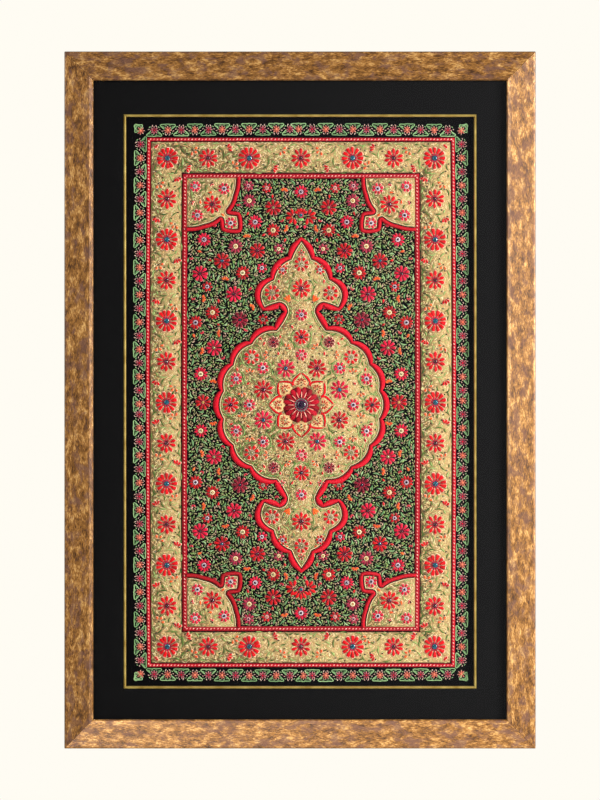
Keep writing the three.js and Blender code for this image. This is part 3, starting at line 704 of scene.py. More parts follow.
class Thread:
    """All that is worked in one thread or bead. Each point keeps how far along and across its own
    stitch or cord it lies, in millimetres, and a number from 0 to 1 drawn for that stitch."""

    def __init__(self):
        self.points = []
        self.triangles = []
        self.marks = []
        self.count = 0

    def add(self, points, triangles, marks):
        self.points.append(points)
        self.triangles.append(triangles + self.count)
        self.marks.append(marks)
        self.count += len(points)

    def sew(self, form, x, y, angle, length, width, height, level, bend=0.0):
        """Copies of a small form at places in the drawing, all arguments numbers or equal lists."""
        columns = np.broadcast_arrays(*np.atleast_1d(x, y, angle, length, width, height, level, bend))
        x, y, angle, length, width, height, level, bend = [c.astype(float)[:, None] for c in columns]
        unit, triangles = FORMS[form]
        along = unit[:, 0] * length
        across = unit[:, 1] * width + bend * (1 - (2 * unit[:, 0]) ** 2)
        shift_x, shift_y = turned(along, across, angle)
        points = on_cloth(x + shift_x, y + shift_y, level + unit[:, 2] * height)
        drawn = np.broadcast_to(rng.random((len(x), 1)), along.shape)
        marks = np.stack([along, unit[:, 1] * width, drawn], axis=-1)
        firsts = np.arange(len(x))[:, None, None] * len(unit)
        self.add(points.reshape(-1, 3), (triangles + firsts).reshape(-1, 3), marks.reshape(-1, 3))

    def sew_round(self, form, x, y, radius, height, level, angle=0.0):
        """A round form of a given radius."""
        self.sew(form, x, y, angle, radius, radius, height, level)

    def lay(self, right, left, height, level=0.0, closed=True, sides=7, power=0.6):
        """A cord or padded band between its right and left edges."""
        over = np.linspace(-1, 1, sides)
        share = (over[None, :, None] + 1) / 2
        flat = right[:, None, :] * (1 - share) + left[:, None, :] * share
        up = level + np.outer(np.broadcast_to(height, len(right)), np.cos(over * math.pi / 2) ** power)
        steps = np.linalg.norm(np.diff(flat[:, sides // 2], axis=0), axis=1)
        run = np.concatenate([[0], np.cumsum(steps)])
        width = np.linalg.norm(left - right, axis=1)
        marks = np.stack(
            [
                np.broadcast_to(run[:, None], up.shape),
                np.outer(width / 2, over),
                np.full(up.shape, rng.random()),
            ],
            axis=-1,
        )
        points = on_cloth(flat[..., 0], flat[..., 1], up).reshape(-1, 3)
        marks = marks.reshape(-1, 3)
        if not closed:
            ends = [(right[i] + left[i]) / 2 for i in (0, -1)]
            tips = [on_cloth(end[0], end[1], level) for end in ends]
            points = np.concatenate([tips[:1], points, tips[1:]])
            marks = np.concatenate([marks[:1], marks, marks[-1:]])
        self.add(points, skin(len(right), sides, closed), marks)

    def cord(self, path, width, height, level=0.0, closed=True, sides=5):
        """A cord laid along a path of the drawing."""
        half = np.broadcast_to(width, len(path)) / 2
        self.lay(moved(path, half, closed), moved(path, -half, closed), height, level, closed, sides)

    def pad(self, outline, height, level=0.0):
        """A flat piece of padding with straight sides."""
        triangles = np.array(tessellate_polygon([[Vector((x, y, 0)) for x, y in outline]]))
        corners = outline[triangles]
        one, two = corners[:, 1] - corners[:, 0], corners[:, 2] - corners[:, 0]
        downwards = one[:, 0] * two[:, 1] - one[:, 1] * two[:, 0] < 0
        triangles[downwards] = triangles[downwards][:, ::-1]
        count = len(outline)
        k = np.arange(count)
        after = (k + 1) % count
        lower, upper = np.stack([k, after, after + count], 1), np.stack([k, after + count, k + count], 1)
        sides = np.concatenate([lower, upper])
        x, y = outline[:, 0], outline[:, 1]
        if np.sum(x * np.roll(y, -1) - y * np.roll(x, -1)) < 0:
            sides = sides[:, ::-1]
        points = np.concatenate([on_cloth(x, y, up) for up in (level, level + height)])
        marks = np.concatenate([np.column_stack([outline, np.zeros(count)])] * 2)
        self.add(points, np.concatenate([triangles + count, triangles[:, ::-1], sides]), marks)

    def mesh(self, name):
        points = np.concatenate(self.points).astype(np.float32)
        triangles = np.concatenate(self.triangles).astype(np.int32)
        mesh = bpy.data.meshes.new(name)
        mesh.vertices.add(len(points))
        mesh.vertices.foreach_set("co", points.ravel())
        mesh.loops.add(triangles.size)
        mesh.loops.foreach_set("vertex_index", triangles.ravel())
        mesh.polygons.add(len(triangles))
        mesh.polygons.foreach_set("loop_start", np.arange(0, triangles.size, 3, dtype=np.int32))
        mesh.polygons.foreach_set("use_smooth", np.ones(len(triangles), bool))
        mesh.update(calc_edges=True)
        marks = mesh.attributes.new("thread", "FLOAT_VECTOR", "POINT")
        marks.data.foreach_set("vector", np.concatenate(self.marks).astype(np.float32).ravel())
        return mesh


threads = {}


def thread(name):
    return threads.setdefault(name, Thread())


# A chart of the drawing, which keeps what is taken and the level of the ground


class Chart:
    """A fine grid over the worked area."""

    cell = 0.4
    low = np.array([-226.0, -374.0])

    def __init__(self):
        shape = tuple((2 * -self.low / self.cell).astype(int))
        self.x = self.low[0] + (np.arange(shape[0]) + 0.5) * self.cell
        self.y = self.low[1] + (np.arange(shape[1]) + 0.5) * self.cell
        self.taken = np.zeros(shape, bool)
        self.level = np.zeros(shape, np.float32)

    def cells(self, x, y):
        i = ((np.asarray(x) - self.low[0]) / self.cell).astype(int)
        j = ((np.asarray(y) - self.low[1]) / self.cell).astype(int)
        return i.clip(0, len(self.x) - 1), j.clip(0, len(self.y) - 1)

    def level_at(self, x, y):
        return self.level[self.cells(x, y)]

    def inside(self, outline):
        """The cells inside a closed outline."""
        found = np.zeros(self.taken.shape, bool)
        (i0, j0), (i1, j1) = [self.cells(*corner) for corner in (outline.min(0), outline.max(0))]
        x, y = self.x[i0 : i1 + 1, None], self.y[None, j0 : j1 + 1]
        part = np.zeros((x.size, y.size), bool)
        for (ax, ay), (bx, by) in zip(outline, np.roll(outline, -1, axis=0)):
            if ay == by:
                continue
            spans = (ay <= y) != (by <= y)
            part ^= spans & (x < ax + (y - ay) * (bx - ax) / (by - ay))
        found[i0 : i1 + 1, j0 : j1 + 1] = part
        return found

    def take_disc(self, x, y, radius):
        (i0, j0), (i1, j1) = self.cells(x - radius, y - radius), self.cells(x + radius, y + radius)
        near_x, near_y = self.x[i0 : i1 + 1, None] - x, self.y[None, j0 : j1 + 1] - y
        self.taken[i0 : i1 + 1, j0 : j1 + 1] |= near_x**2 + near_y**2 < radius**2

    def take_path(self, path, radius, step=0.8):
        for start, end in zip(path[:-1], path[1:]):
            steps = max(1, math.ceil(math.hypot(*(end - start)) / step))
            for k in range(steps + 1):
                self.take_disc(*(start + (end - start) * k / steps), radius)


chart = Chart()


def bent_line(x, y, angle, length, bend, count):
    """Points along the middle of a bent stitch."""
    along = np.linspace(-0.5, 0.5, count)
    shift_x, shift_y = turned(along * length, bend * (1 - (2 * along) ** 2), angle)
    return x + shift_x, y + shift_y


def scatter(region, tries, make, clearance, samples=5):
    """Stitches at random free places of a region. make(x, y) gives angle, length, width and bend."""
    free = np.argwhere(region & ~chart.taken)
    laid = []
    for i, j in free[rng.permutation(len(free))[:tries]]:
        if chart.taken[i, j]:
            continue
        x, y = chart.x[i] + rng.uniform(-0.2, 0.2), chart.y[j] + rng.uniform(-0.2, 0.2)
        angle, length, width, bend = make(x, y)
        line_x, line_y = bent_line(x, y, angle, length, bend, samples)
        cells = chart.cells(line_x, line_y)
        if chart.taken[cells].any() or not region[cells].all():
            continue
        laid.append((x, y, angle, length, width, bend))
        for px, py in zip(line_x, line_y):
            chart.take_disc(px, py, width / 2 + clearance)
    return np.array(laid)


def swirl(x, y):
    """The changing direction of the couched ground."""
    return math.pi * (math.sin(x / 5.7 + 2 * math.sin(y / 8.3)) + math.cos(y / 6.1 + 2 * math.sin(x / 7.9)))


# Motifs


def flower(x, y, kind, petals, stones="dark", turn=0.0, rings="pale", size=1.0):
    """A flower of padded petals on a pale ground, round a ring of cord or of small petals and a stone."""
    style = dict(zip(FLOWER_COLUMNS, FLOWER_KINDS[kind]))
    level = float(chart.level_at(x, y))
    count = style["petals"]
    inner, outer = style["inner"] * size, style["outer"] * size * rng.uniform(0.97, 1.03)
    angles = turn + all_round(count) + rng.normal(0, 0.035, count)
    length = (outer - inner) * rng.uniform(0.95, 1.04, count)
    places = around(x, y, inner + length / 2, angles)
    width = style["width"] * size * rng.uniform(0.86, 1.02, count)
    height = PETAL_HEIGHT if outer > 7 else 0.8 * PETAL_HEIGHT
    sew_petals(petals, style["form"], *places, angles, length, width, height, level)
    for angle in angles:
        for share in (0.2, 0.5, 0.82):
            distance = inner + (outer - inner) * share
            spread = style["width"] * size * (0.34 if share < 0.5 else 0.46)
            chart.take_disc(x + distance * math.cos(angle), y + distance * math.sin(angle), spread)
    if style["rays"]:
        flower_rays(x, y, angles, style["rays"] * size, level)
    if style["ring"]:
        ring = style["ring"] * size
        thread(rings).sew_round("ring", x, y, ring, RING_HEIGHT, level, turn)
        thread("hearts").sew_round("disc", x, y, ring * 0.6, HEART_HEIGHT, level, turn)
    thread(stones).sew_round("stone", x, y, style["stone"] * size, STONE_HEIGHT, level, turn)
    chart.take_disc(x, y, inner + 0.6)


def sew_petals(name, form, x, y, angles, length, width, height, level):
    """Padded petals, each with paler thread showing all round it, less of it on the dark field."""
    halo, rim = ("halo", HALO_RIM) if level > 0 else ("field_halo", FIELD_HALO_RIM)
    thread(halo).sew(form + "_halo", x, y, angles, length + rim, width + rim, HALO_HEIGHT, level)
    thread(name).sew(form, x, y, angles, length, width, height, level)


def flower_rays(x, y, angles, outer, level):
    """Short dark petals between the stone and the long petals of a flower."""
    inner = outer * 0.35
    places = around(x, y, (inner + outer) / 2, angles)
    width = 2 * math.pi * outer / len(angles) * 0.62
    thread("rays").sew("lens", *places, angles, outer - inner, width, 1.1, level)


def fan(petals, x, y, angle, count, spread, inner, outer, width):
    """A few petals that spread from one point."""
    level = float(chart.level_at(x, y))
    angles = angle + np.linspace(-spread, spread, count)
    places = around(x, y, (inner + outer) / 2, angles)
    sew_petals(petals, "drop", *places, angles, outer - inner, width, 1.3, level)
    for near_x, near_y in zip(*places):
        chart.take_disc(near_x, near_y, width * 0.62)
    chart.take_disc(x, y, 1.1)


def dot(x, y):
    thread("dots").sew_round("bead", x, y, DOT_RADIUS, 1.1, float(chart.level_at(x, y)))
    chart.take_disc(x, y, DOT_RADIUS + 0.1)


def sprig(x, y, angle, kind):
    """A small spray of petals, a bud or a drop."""
    petals, count, spread, (inner, outer), width, dotted = SPRIGS[kind]
    fan(petals, x, y, angle, count, spread, inner, outer, width)
    if dotted:
        dot(x, y)


def stem(x, y, radius, start, end, hand):
    """A curled stem round a flower, with a leaf off it here and there and a dot at its end."""
    steps = max(6, round(abs(end - start) * radius / STEM_STEP))
    t = np.linspace(0, 1, steps)
    angles = start + (end - start) * t
    reach = radius * (1 + 0.05 * np.sin(3 * t + 1))
    path = np.stack(around(x, y, reach, angles), 1)
    level = float(chart.level_at(*path[steps // 2]))
    thread("stems").cord(path, STEM_WIDTH * (1.15 - 0.6 * t), 0.75, level - 0.1, False, 4)
    chart.take_path(path, 0.35)
    for k in range(2, steps - 1, 3):
        side = 1 if k % 2 else -1
        heading = angles[k] + math.copysign(math.pi / 2, end - start)
        angle = heading + side * 0.5
        away = STEM_LEAF_OFF * side * math.copysign(1, end - start)
        lx, ly = path[k] + away * np.array([-math.cos(angles[k]), -math.sin(angles[k])])
        lx, ly = lx + STEM_LEAF_OFF * math.cos(heading), ly + STEM_LEAF_OFF * math.sin(heading)
        colour = "leaf_olive" if rng.random() < 0.65 else "leaf_light"
        leaf(lx, ly, angle, 6.6, -0.9 * side * hand, 1.7, colour)
    dot(*path[-1])


def leaf(x, y, angle, length, bend, thickness=2.1, colour=None):
    """A sickle leaf that tapers at both ends."""
    colour = colour or ("leaf_olive" if rng.random() < 0.6 else "leaf_light")
    level = float(chart.level_at(x, y))
    thread(colour).sew("leaf", x, y, angle, length, thickness, 1.0, level, bend)
    for near_x, near_y in zip(*bent_line(x, y, angle, length, bend, 9)):
        chart.take_disc(near_x, near_y, thickness * 0.45)


# The grounds


def lay_grounds():
    """The padding under the tan parts, their levels on the chart, and the regions to be filled."""
    inner_cut = OUTER_GUARD["width"] / 2 + DARK_LINE
    outer_cut = INNER_GUARD["width"] / 2 + DARK_LINE
    outside = rectangle(np.array(OUTER_GUARD["half"]) - inner_cut)
    inside = rectangle(np.array(INNER_GUARD["half"]) + outer_cut)
    border = chart.inside(outside) & ~chart.inside(inside)
    field = chart.inside(rectangle(np.array(INNER_GUARD["half"]) - INNER_GUARD["width"] / 2))
    border_pads(inner_cut, outer_cut)

    edge, widths = medallion_edge()
    edge = edge + MEDALLION_OFFSET
    thread("tan_padding").pad(edge, MEDALLION_LEVEL)
    medallion = chart.inside(moved(edge, -MEDALLION_INSET, True))
    field &= ~chart.inside(moved(edge, widths, True))
    for sign_x, sign_y in QUARTERS:
        line = corner_edge()
        corner = np.array([CORNER_START[1], CORNER_START[1]])
        pad = in_corner(np.concatenate([line, [corner]]), sign_x, sign_y)
        thread("tan_padding").pad(pad, MEDALLION_LEVEL)
        inner = np.concatenate([moved(line, -CORNER_INSET, False), [corner + 2]])
        medallion |= chart.inside(in_corner(inner, sign_x, sign_y)) & field
        outer = in_corner(np.concatenate([moved(line, CORNER_BAND, False), [corner]]), sign_x, sign_y)
        field &= ~chart.inside(outer)

    chart.level[border] = BORDER_LEVEL
    chart.level[medallion] = MEDALLION_LEVEL
    return {"border": border, "medallion": medallion, "field": field}


def border_pads(inner_cut, outer_cut):
    """The four mitred strips of padding under the main border."""
    far = np.array(OUTER_GUARD["half"]) - inner_cut
    near = np.array(INNER_GUARD["half"]) + outer_cut
    for one, two in zip(CORNERS, np.roll(CORNERS, -1, axis=0)):
        steps = np.linspace(0, 1, 60)[:, None]
        outer = far * one + steps * (far * two - far * one)
        inner = near * two + steps * (near * one - near * two)
        thread("border_padding").pad(np.concatenate([outer, inner]), BORDER_LEVEL)


def in_corner(points, sign_x, sign_y):
    """Points inwards from the field's corner, as points of the drawing."""
    return np.stack([sign_x * (FIELD_HALF[0] - points[:, 0]), sign_y * (FIELD_HALF[1] - points[:, 1])], 1)


def corner_angle(angle, sign_x, sign_y):
    """A direction inwards from the field's corner, as a direction of the drawing."""
    return math.atan2(-sign_y * math.sin(angle), -sign_x * math.cos(angle))


# The raised lines


def lay_guards():
    """Two red padded guards all round, each with a row of pink beads."""
    for name, guard in (("outer_guard", OUTER_GUARD), ("inner_guard", INNER_GUARD)):
        half, reach = np.array(guard["half"]), guard["width"] / 2
        count = len(rectangle(half))
        near, far = [rectangle(edge, even_steps(edge, count)) for edge in (half - reach, half + reach)]
        thread(name).lay(far, near, GUARD_HEIGHT, sides=7, power=0.5)
        lay_guard_beads(half)


def even_steps(half, count):
    """Steps for the sides of a rectangle, the same for each pair of sides."""
    long_steps = round(count * half[1] / (half[0] + half[1]) / 2)
    return [long_steps, count // 2 - long_steps] * 2


def lay_guard_beads(half):
    """Bright beads along the middle of a guard, a little slanted."""
    for corner, way in sides_of(half):
        count = round(math.hypot(*way) / BEAD_PITCH)
        places = corner + np.outer((np.arange(count) + 0.5) / count, way)
        places += rng.normal(0, 0.12, places.shape)
        angle = math.atan2(way[1], way[0]) + BEAD_SLANT
        thread("guard_beads").sew("stitch", *places.T, angle, 3.0, 2.3, 1.1, GUARD_HEIGHT - 0.35)


def lay_outlines():
    """The padded red outlines of the medallion and the corner pieces, with fine lines inside them."""
    edge, widths = medallion_edge()
    edge = edge + MEDALLION_OFFSET
    thread("medallion_outline").lay(moved(edge, widths, True), edge, OUTLINE_HEIGHT, sides=9, power=0.5)
    for line in FINE_LINES:
        inside = moved(edge, -line["distance"], True)
        thread(line["thread"]).cord(inside, line["width"], line["height"], FINE_LEVEL)
    for sign_x, sign_y in QUARTERS:
        path = corner_edge()
        ways = slice(None) if sign_x * sign_y > 0 else slice(None, None, -1)
        outer, inner = [in_corner(moved(path, d, False), sign_x, sign_y)[ways] for d in (CORNER_BAND, 0)]
        right, left = (outer, inner) if sign_x * sign_y > 0 else (inner, outer)
        thread("corner_outlines").lay(right, left, OUTLINE_HEIGHT, closed=False, sides=9, power=0.5)
        for line in FINE_LINES:
            fine = in_corner(moved(path, -line["distance"], False)[1:-1], sign_x, sign_y)
            thread(line["thread"]).cord(fine[ways], line["width"], line["height"], FINE_LEVEL, False)


def lay_arches(region):
    """The pointed arches round the domed flower, and short curls of thread inside them."""
    side = smooth(np.array(ARCH_SIDE, float), 5)
    insides = np.zeros_like(region)
    for k in range(ARCH_COUNT):
        insides |= lay_arch(side, k * 2 * math.pi / ARCH_COUNT)

    def curl(x, y):
        return swirl(x, y), rng.uniform(2.4, 3.6), 1.1, rng.uniform(-0.5, 0.5)

    laid = scatter(insides & region, ARCH_TRIES, curl, -TAN_OVERLAP)
    lay_stitches(laid, ARCH_SHARES, 0.6)
    chart.taken |= insides


def lay_arch(side, angle):
    """An arch of red cord between pale lines, on its own padding with a small flower and dots. Gives
    the cells inside it."""
    outline = np.concatenate([side, side[::-1] * (1, -1)])
    path = np.stack(turned(outline[:, 0], outline[:, 1], angle), 1) + MEDALLION_OFFSET
    foot = MEDALLION_OFFSET + ARCH_FOOT * np.array([[math.cos(angle), math.sin(angle)]])
    closed = np.concatenate([path, foot])
    thread("peach").pad(closed, ARCH_LEVEL)
    inside = chart.inside(closed)
    chart.level[inside] = ARCH_LEVEL
    widths = np.sin(np.linspace(0.04, 0.9, len(side)) * math.pi) ** 0.8 * 2.5 + 0.35
    for hand in (1, -1):
        cord = np.stack(turned(side[:, 0], side[:, 1] * hand, angle), 1) + MEDALLION_OFFSET
        thread("arch_cord").cord(cord, widths, 1.7, ARCH_LEVEL - 0.1, False)
        for away in (1.0, -1.0):
            beside = moved(cord, away * (0.7 + widths / 2), False)
            thread("pale_line").cord(beside, 0.9, 0.9, ARCH_LEVEL - 0.4, False, 4)
    chart.take_path(path, 1.4)
    fx, fy = turned(ARCH_FLOWER_REACH, 0, angle)
    arch_flower(fx + MEDALLION_OFFSET[0], fy + MEDALLION_OFFSET[1], angle)
    for turn in (0, 0.5):
        dx, dy = turned(ARCH_DOT_REACH, 0, angle + turn * 2 * math.pi / ARCH_COUNT)
        dot(dx + MEDALLION_OFFSET[0], dy + MEDALLION_OFFSET[1])
    return inside


def arch_flower(x, y, angle):
    """Thin red petals round a black dot."""
    angles = angle + np.linspace(-1.95, 1.95, 7)
    places = around(x, y, 4.4, angles)
    thread("arch_petals").sew("lens", *places, angles, 4.6, 1.7, 1.1, ARCH_LEVEL)
    for near_x, near_y in zip(*places):
        chart.take_disc(near_x, near_y, 1.1)
    dot(x, y)


def smooth(points, steps):
    """A curve through all the points, rounder than straight lines between them."""
    before = np.concatenate([[2 * points[0] - points[1]], points[:-1]])
    after = np.concatenate([points[1:], [2 * points[-1] - points[-2]]])
    slope = (after - before) / 2
    t = np.linspace(0, 1, steps, endpoint=False)[:, None]
    leave, reach = 2 * t**3 - 3 * t**2 + 1, 3 * t**2 - 2 * t**3
    leave_slope, reach_slope = t**3 - 2 * t**2 + t, t**3 - t**2
    pieces = [
        p * leave + q * reach + m * leave_slope + n * reach_slope
        for p, q, m, n in zip(points[:-1], points[1:], slope[:-1], slope[1:])
    ]
    return np.concatenate([*pieces, points[-1:]])


def lay_dome():
    """The domed flower: padding, long petals with pale lines between them, rings of thread and of beads."""
    x, y = MEDALLION_OFFSET
    turn_on_dome(thread("dome_padding"), DOME_PROFILE, 0, DOME_TOP, 48)
    chart.take_disc(x, y, DOME_RADIUS)
    for tier in DOME_TIERS:
        dome_tier(x, y, *tier)
    places = around(x, y, DOME_BEAD_REACH, all_round(DOME_BEADS))
    thread("grey_beads").sew_round("bead", *places, 0.95, 1.2, DOME_TOP)
    thread("dome_ring").sew_round("thin_ring", x, y, DOME_RING_RADIUS, 1.5, DOME_TOP)


def turn_on_dome(work, profile, foot, top, sides):
    """A form turned about the middle of the dome: radius and height of its rings, between two tips."""
    x, y = MEDALLION_OFFSET
    rings = [on_cloth(*around(x, y, radius, all_round(sides)), up) for radius, up in profile]
    points = np.concatenate([on_cloth(x, y, foot)[None], *rings, on_cloth(x, y, top)[None]])
    work.add(points, skin(len(profile), sides, False), np.zeros((len(points), 3)))


def dome_tier(x, y, name, form, reach, width, rise, turn):
    """Petals or lines that slope down from the middle of the dome to its rim."""
    unit, triangles = FORMS[form]
    inner, outer = reach
    for k in range(DOME_PETALS):
        angle = (k + turn) * 2 * math.pi / DOME_PETALS + rng.normal(0, 0.015)
        along = inner + (unit[:, 0] + 0.5) * (outer - inner)
        across = unit[:, 1] * width
        px, py = turned(along, across, angle)
        up = np.interp(along, reach, rise) + unit[:, 2] * 1.7
        marks = np.stack([along, across, np.full(len(along), rng.random())], 1)
        thread(name).add(on_cloth(x + px, y + py, up), triangles, marks)


# What is worked on the tan ground


def work_border():
    """Flowers, sprigs and leaves of the main border."""
    pitch = BORDER_LINE[1] / LONG_SIDE_PITCHES
    long_side = [(k * pitch, "round" if k % 2 == 0 else "pointed") for k in range(LONG_SIDE_PITCHES + 1)]
    for side in (1, -1):
        for along, kind in long_side:
            for y in sorted({along, -along}):
                border_flower(side * BORDER_LINE[0], y, kind)
        for along, kind in SHORT_SIDE_PLACES:
            for x in sorted({along, -along}):
                border_flower(x, side * BORDER_LINE[1], kind)
    long_places = [along for along, _ in long_side][::-1]
    short_places = [BORDER_LINE[0], *[along for along, _ in SHORT_SIDE_PLACES][::-1]]
    for side_x, side_y in QUARTERS:
        for k, (start, end) in enumerate(zip(long_places[:-1], long_places[1:])):
            work_gap((side_x * BORDER_LINE[0], side_y * start), (0, -side_y), (-side_x, 0), start - end, k)
        for k, (start, end) in enumerate(zip(short_places[:-1], short_places[1:])):
            work_gap((side_x * start, side_y * BORDER_LINE[1]), (-side_x, 0), (0, -side_y), start - end, k)
        x = side_x * (BORDER_LINE[0] + CORNER_SPRIG_OFFSET[0])
        y = side_y * (BORDER_LINE[1] + CORNER_SPRIG_OFFSET[1])
        sprig(x, y, math.atan2(-side_y, -side_x), "short_red")


def border_flower(x, y, kind):
    if kind == "round":
        flower(x, y, kind, "scarlet", "teal", math.pi / 12 if rng.random() < 0.5 else 0)
    else:
        flower(x, y, kind, "scarlet", "garnet", math.pi / 2)


def work_gap(start, way, inward, length, order):
    """Leaves, sprigs and dots of the gap after a flower, with the sides changed in every second gap."""
    across = np.array(inward, float) * (1 if order % 2 == 0 else -1)
    way = np.array(way, float)
    stretch = length / BORDER_GAP
    hand = way[0] * across[1] - way[1] * across[0]

    def place(ahead, aside):
        return np.array(start) + way * ahead * stretch + across * aside

    def direction(degrees):
        angle = math.radians(degrees)
        x, y = way * math.cos(angle) + across * math.sin(angle)
        return math.atan2(y, x)

    for ahead, aside, degrees, kind in GAP_SPRIGS:
        sprig(*place(ahead, aside), direction(degrees), kind)
    for ahead, aside, degrees, size, bend in GAP_LEAVES:
        leaf(*place(ahead, aside), direction(degrees), size, hand * bend)
    for ahead, aside in GAP_DOTS:
        dot(*place(ahead, aside))


def work_medallion():
    """Flowers, stems, sprigs and leaves inside the medallion and its pendants."""
    middle_x, middle_y = MEDALLION_OFFSET
    for k in range(STAR_COUNT):
        angle = math.radians(22.5) * (2 * k + 1)
        x, y = middle_x + STAR_REACH[0] * math.cos(angle), middle_y + STAR_REACH[1] * math.sin(angle)
        petals, stones = ("crimson", "teal") if k % 2 == 0 else ("red", "garnet")
        flower(x, y, "star", petals, stones, angle)
    for x, y, kind, petals, stones, rings, size in MEDALLION_FLOWERS:
        turn = math.pi / 2 if kind == "star" else math.pi / 10
        for px, py, *_ in four_ways(x, y):
            flower(middle_x + px, middle_y + py, kind, petals, stones, turn, rings, size)
    for x, y, degrees, kind in MEDALLION_SPRIGS:
        for px, py, angle, _ in four_ways(x, y, math.radians(degrees)):
            sprig(middle_x + px, middle_y + py, angle, kind)
    for x, y, radius, first, last in MEDALLION_STEMS:
        sweep = math.radians(last - first)
        for px, py, start, hand in four_ways(x, y, math.radians(first)):
            stem(middle_x + px, middle_y + py, radius, start, start + hand * sweep, hand)
    for x, y, degrees, length, bend in MEDALLION_LEAVES:
        for px, py, angle, hand in four_ways(x, y, math.radians(degrees)):
            leaf(middle_x + px, middle_y + py, angle, length, hand * bend)
    for x, y in MEDALLION_DOTS:
        for px, py, *_ in four_ways(x, y):
            dot(middle_x + px, middle_y + py)
    line_with_leaves()


def line_with_leaves():
    """Short pale leaves one after the other along the inside of the medallion's outline."""
    edge, _ = medallion_edge()
    path = moved(edge, -LEAF_LINE_INSET, True) + MEDALLION_OFFSET
    steps = np.linalg.norm(np.roll(path, -1, axis=0) - path, axis=1)
    run = np.concatenate([[0], np.cumsum(steps)])
    closed = np.concatenate([path, path[:1]])
    places = np.arange(0, run[-1], LEAF_LINE_PITCH)
    x, y = np.interp(places, run, closed[:, 0]), np.interp(places, run, closed[:, 1])
    ahead = np.roll(x, -1) - x, np.roll(y, -1) - y
    for px, py, angle in zip(x, y, np.arctan2(ahead[1], ahead[0])):
        if not chart.taken[chart.cells(px, py)]:
            leaf(px, py, angle + rng.normal(0.2, 0.15), 6.4, 0.5, 1.8, "leaf_light")


def work_corners():
    """Flowers, sprigs and leaves of the four corner pieces."""
    for signs in QUARTERS:
        def place(x, y):
            return in_corner(np.array([(x, y)], float), *signs)[0]

        for x, y, kind, petals, stones, rings, size in CORNER_FLOWERS:
            flower(*place(x, y), kind, petals, stones, math.pi / 10, rings, size)
        for x, y, degrees, kind in CORNER_SPRIGS:
            sprig(*place(x, y), corner_angle(math.radians(degrees), *signs), kind)
        for x, y, degrees, length, bend in CORNER_LEAVES:
            leaf(*place(x, y), corner_angle(math.radians(degrees), *signs), length, math.prod(signs) * bend)
        for x, y in CORNER_DOTS:
            dot(*place(x, y))


def curls(sway, lengths, widths, bends):
    """How curls are drawn at random round the direction of the ground, for scatter()."""
    def curl(x, y):
        angle = swirl(x, y) + rng.normal(0, sway)
        length = rng.uniform(*lengths)
        return angle, length, rng.uniform(*widths), rng.choice((-1, 1)) * rng.uniform(*bends)

    return curl


def fill_tan(region):
    """Couched thread in short curls over all that is still free of the tan ground."""
    laid = scatter(region, STITCH_TRIES, curls(*TAN_CURLS), -TAN_OVERLAP)
    lay_stitches(laid, TAN_SHARES, 0.42)


def lay_stitches(laid, shares, height):
    """Stitches in several threads, each with its share."""
    names = rng.choice(list(shares), len(laid), p=list(shares.values()))
    for name in shares:
        x, y, angle, length, width, bend = laid[names == name].T
        level = chart.level_at(x, y) - 0.1
        thread(name).sew("stitch", x, y, angle, length, width, height, level, bend)


# The dark field


def work_field(region):
    """Flowers, a lotus above and below, buds and leaves, and small stitches over the rest."""
    for x, y, kind, petals, rings, stones in FIELD_FLOWERS:
        for px, py, *_ in four_ways(x, y):
            flower(px, py, kind, petals, stones, rng.uniform(0, 1), rings)
    for way, crown in LOTUSES:
        lotus(0, way * LOTUS_PLACE, way, crown)
    for x, y, angle, kind in FIELD_SPRIGS:
        for px, py, way, _ in four_ways(x, y, math.radians(angle)):
            sprig(px, py, way, kind)
    grow_leaves(region)
    seed(region)


def lotus(x, y, way, crown):
    """A flower seen from the side: a crown of petals between two drooping groups of long ones."""
    facing = way * math.pi / 2
    level = float(chart.level_at(x, y))
    drooping = {"count": 5, "spread": 1.5, "inner": 1.2, "outer": 11.8, "width": 4.4}
    for side in (-1, 1):
        fan("scarlet", x + side * 9.5, y - way * 1.5, facing - side * way * 1.83, **drooping)
    fan("scarlet", x, y, facing, count=5, spread=1.0, inner=3.6, outer=crown, width=4.2)
    if way > 0:
        fan("leaf_bright", x, y - way * 3.2, -facing, count=3, spread=0.7, inner=0.5, outer=5.0, width=3.2)
    thread("rays").sew_round("ring", x, y, 3.9, 1.9, level)
    thread("teal").sew_round("stone", x, y, 2.9, 2.4, level)
    drop = {"count": 1, "spread": 0, "inner": -2.5, "outer": 2.5, "width": 4.4}
    for side in (-1, 1):
        fan("crimson", x + side * 5, y - way * 16, facing, **drop)


def grow_leaves(region):
    """Curled green leaves all over the field, mirrored from one quarter."""
    quarter = region & (chart.x[:, None] > 2) & (chart.y[None, :] > 2)

    def curled(x, y):
        length = rng.uniform(8.0, 13.0)
        angle = swirl(x * 0.7, y * 0.7) + rng.normal(0, 0.6)
        return angle, length, rng.uniform(2.3, 3.1), rng.choice((-1, 1)) * length * rng.uniform(0.12, 0.28)

    free_before = chart.taken.copy()
    laid = scatter(quarter, LEAF_TRIES, curled, LEAF_CLEARANCE, samples=7)
    chart.taken[:] = free_before
    for x, y, angle, length, width, bend in laid:
        colour = rng.choice(list(LEAF_SHARES), p=list(LEAF_SHARES.values()))
        for px, py, way, hand in four_ways(x, y, angle):
            leaf(px, py, way, length, hand * bend, width, colour)


def seed(region):
    """Small stitches in tan and olive over the rest of the field, with the velvet showing between."""
    laid = scatter(region, STITCH_TRIES, curls(*FIELD_CURLS), -FIELD_OVERLAP)
    lay_stitches(laid, FIELD_SHARES, 0.9)


# The vine border


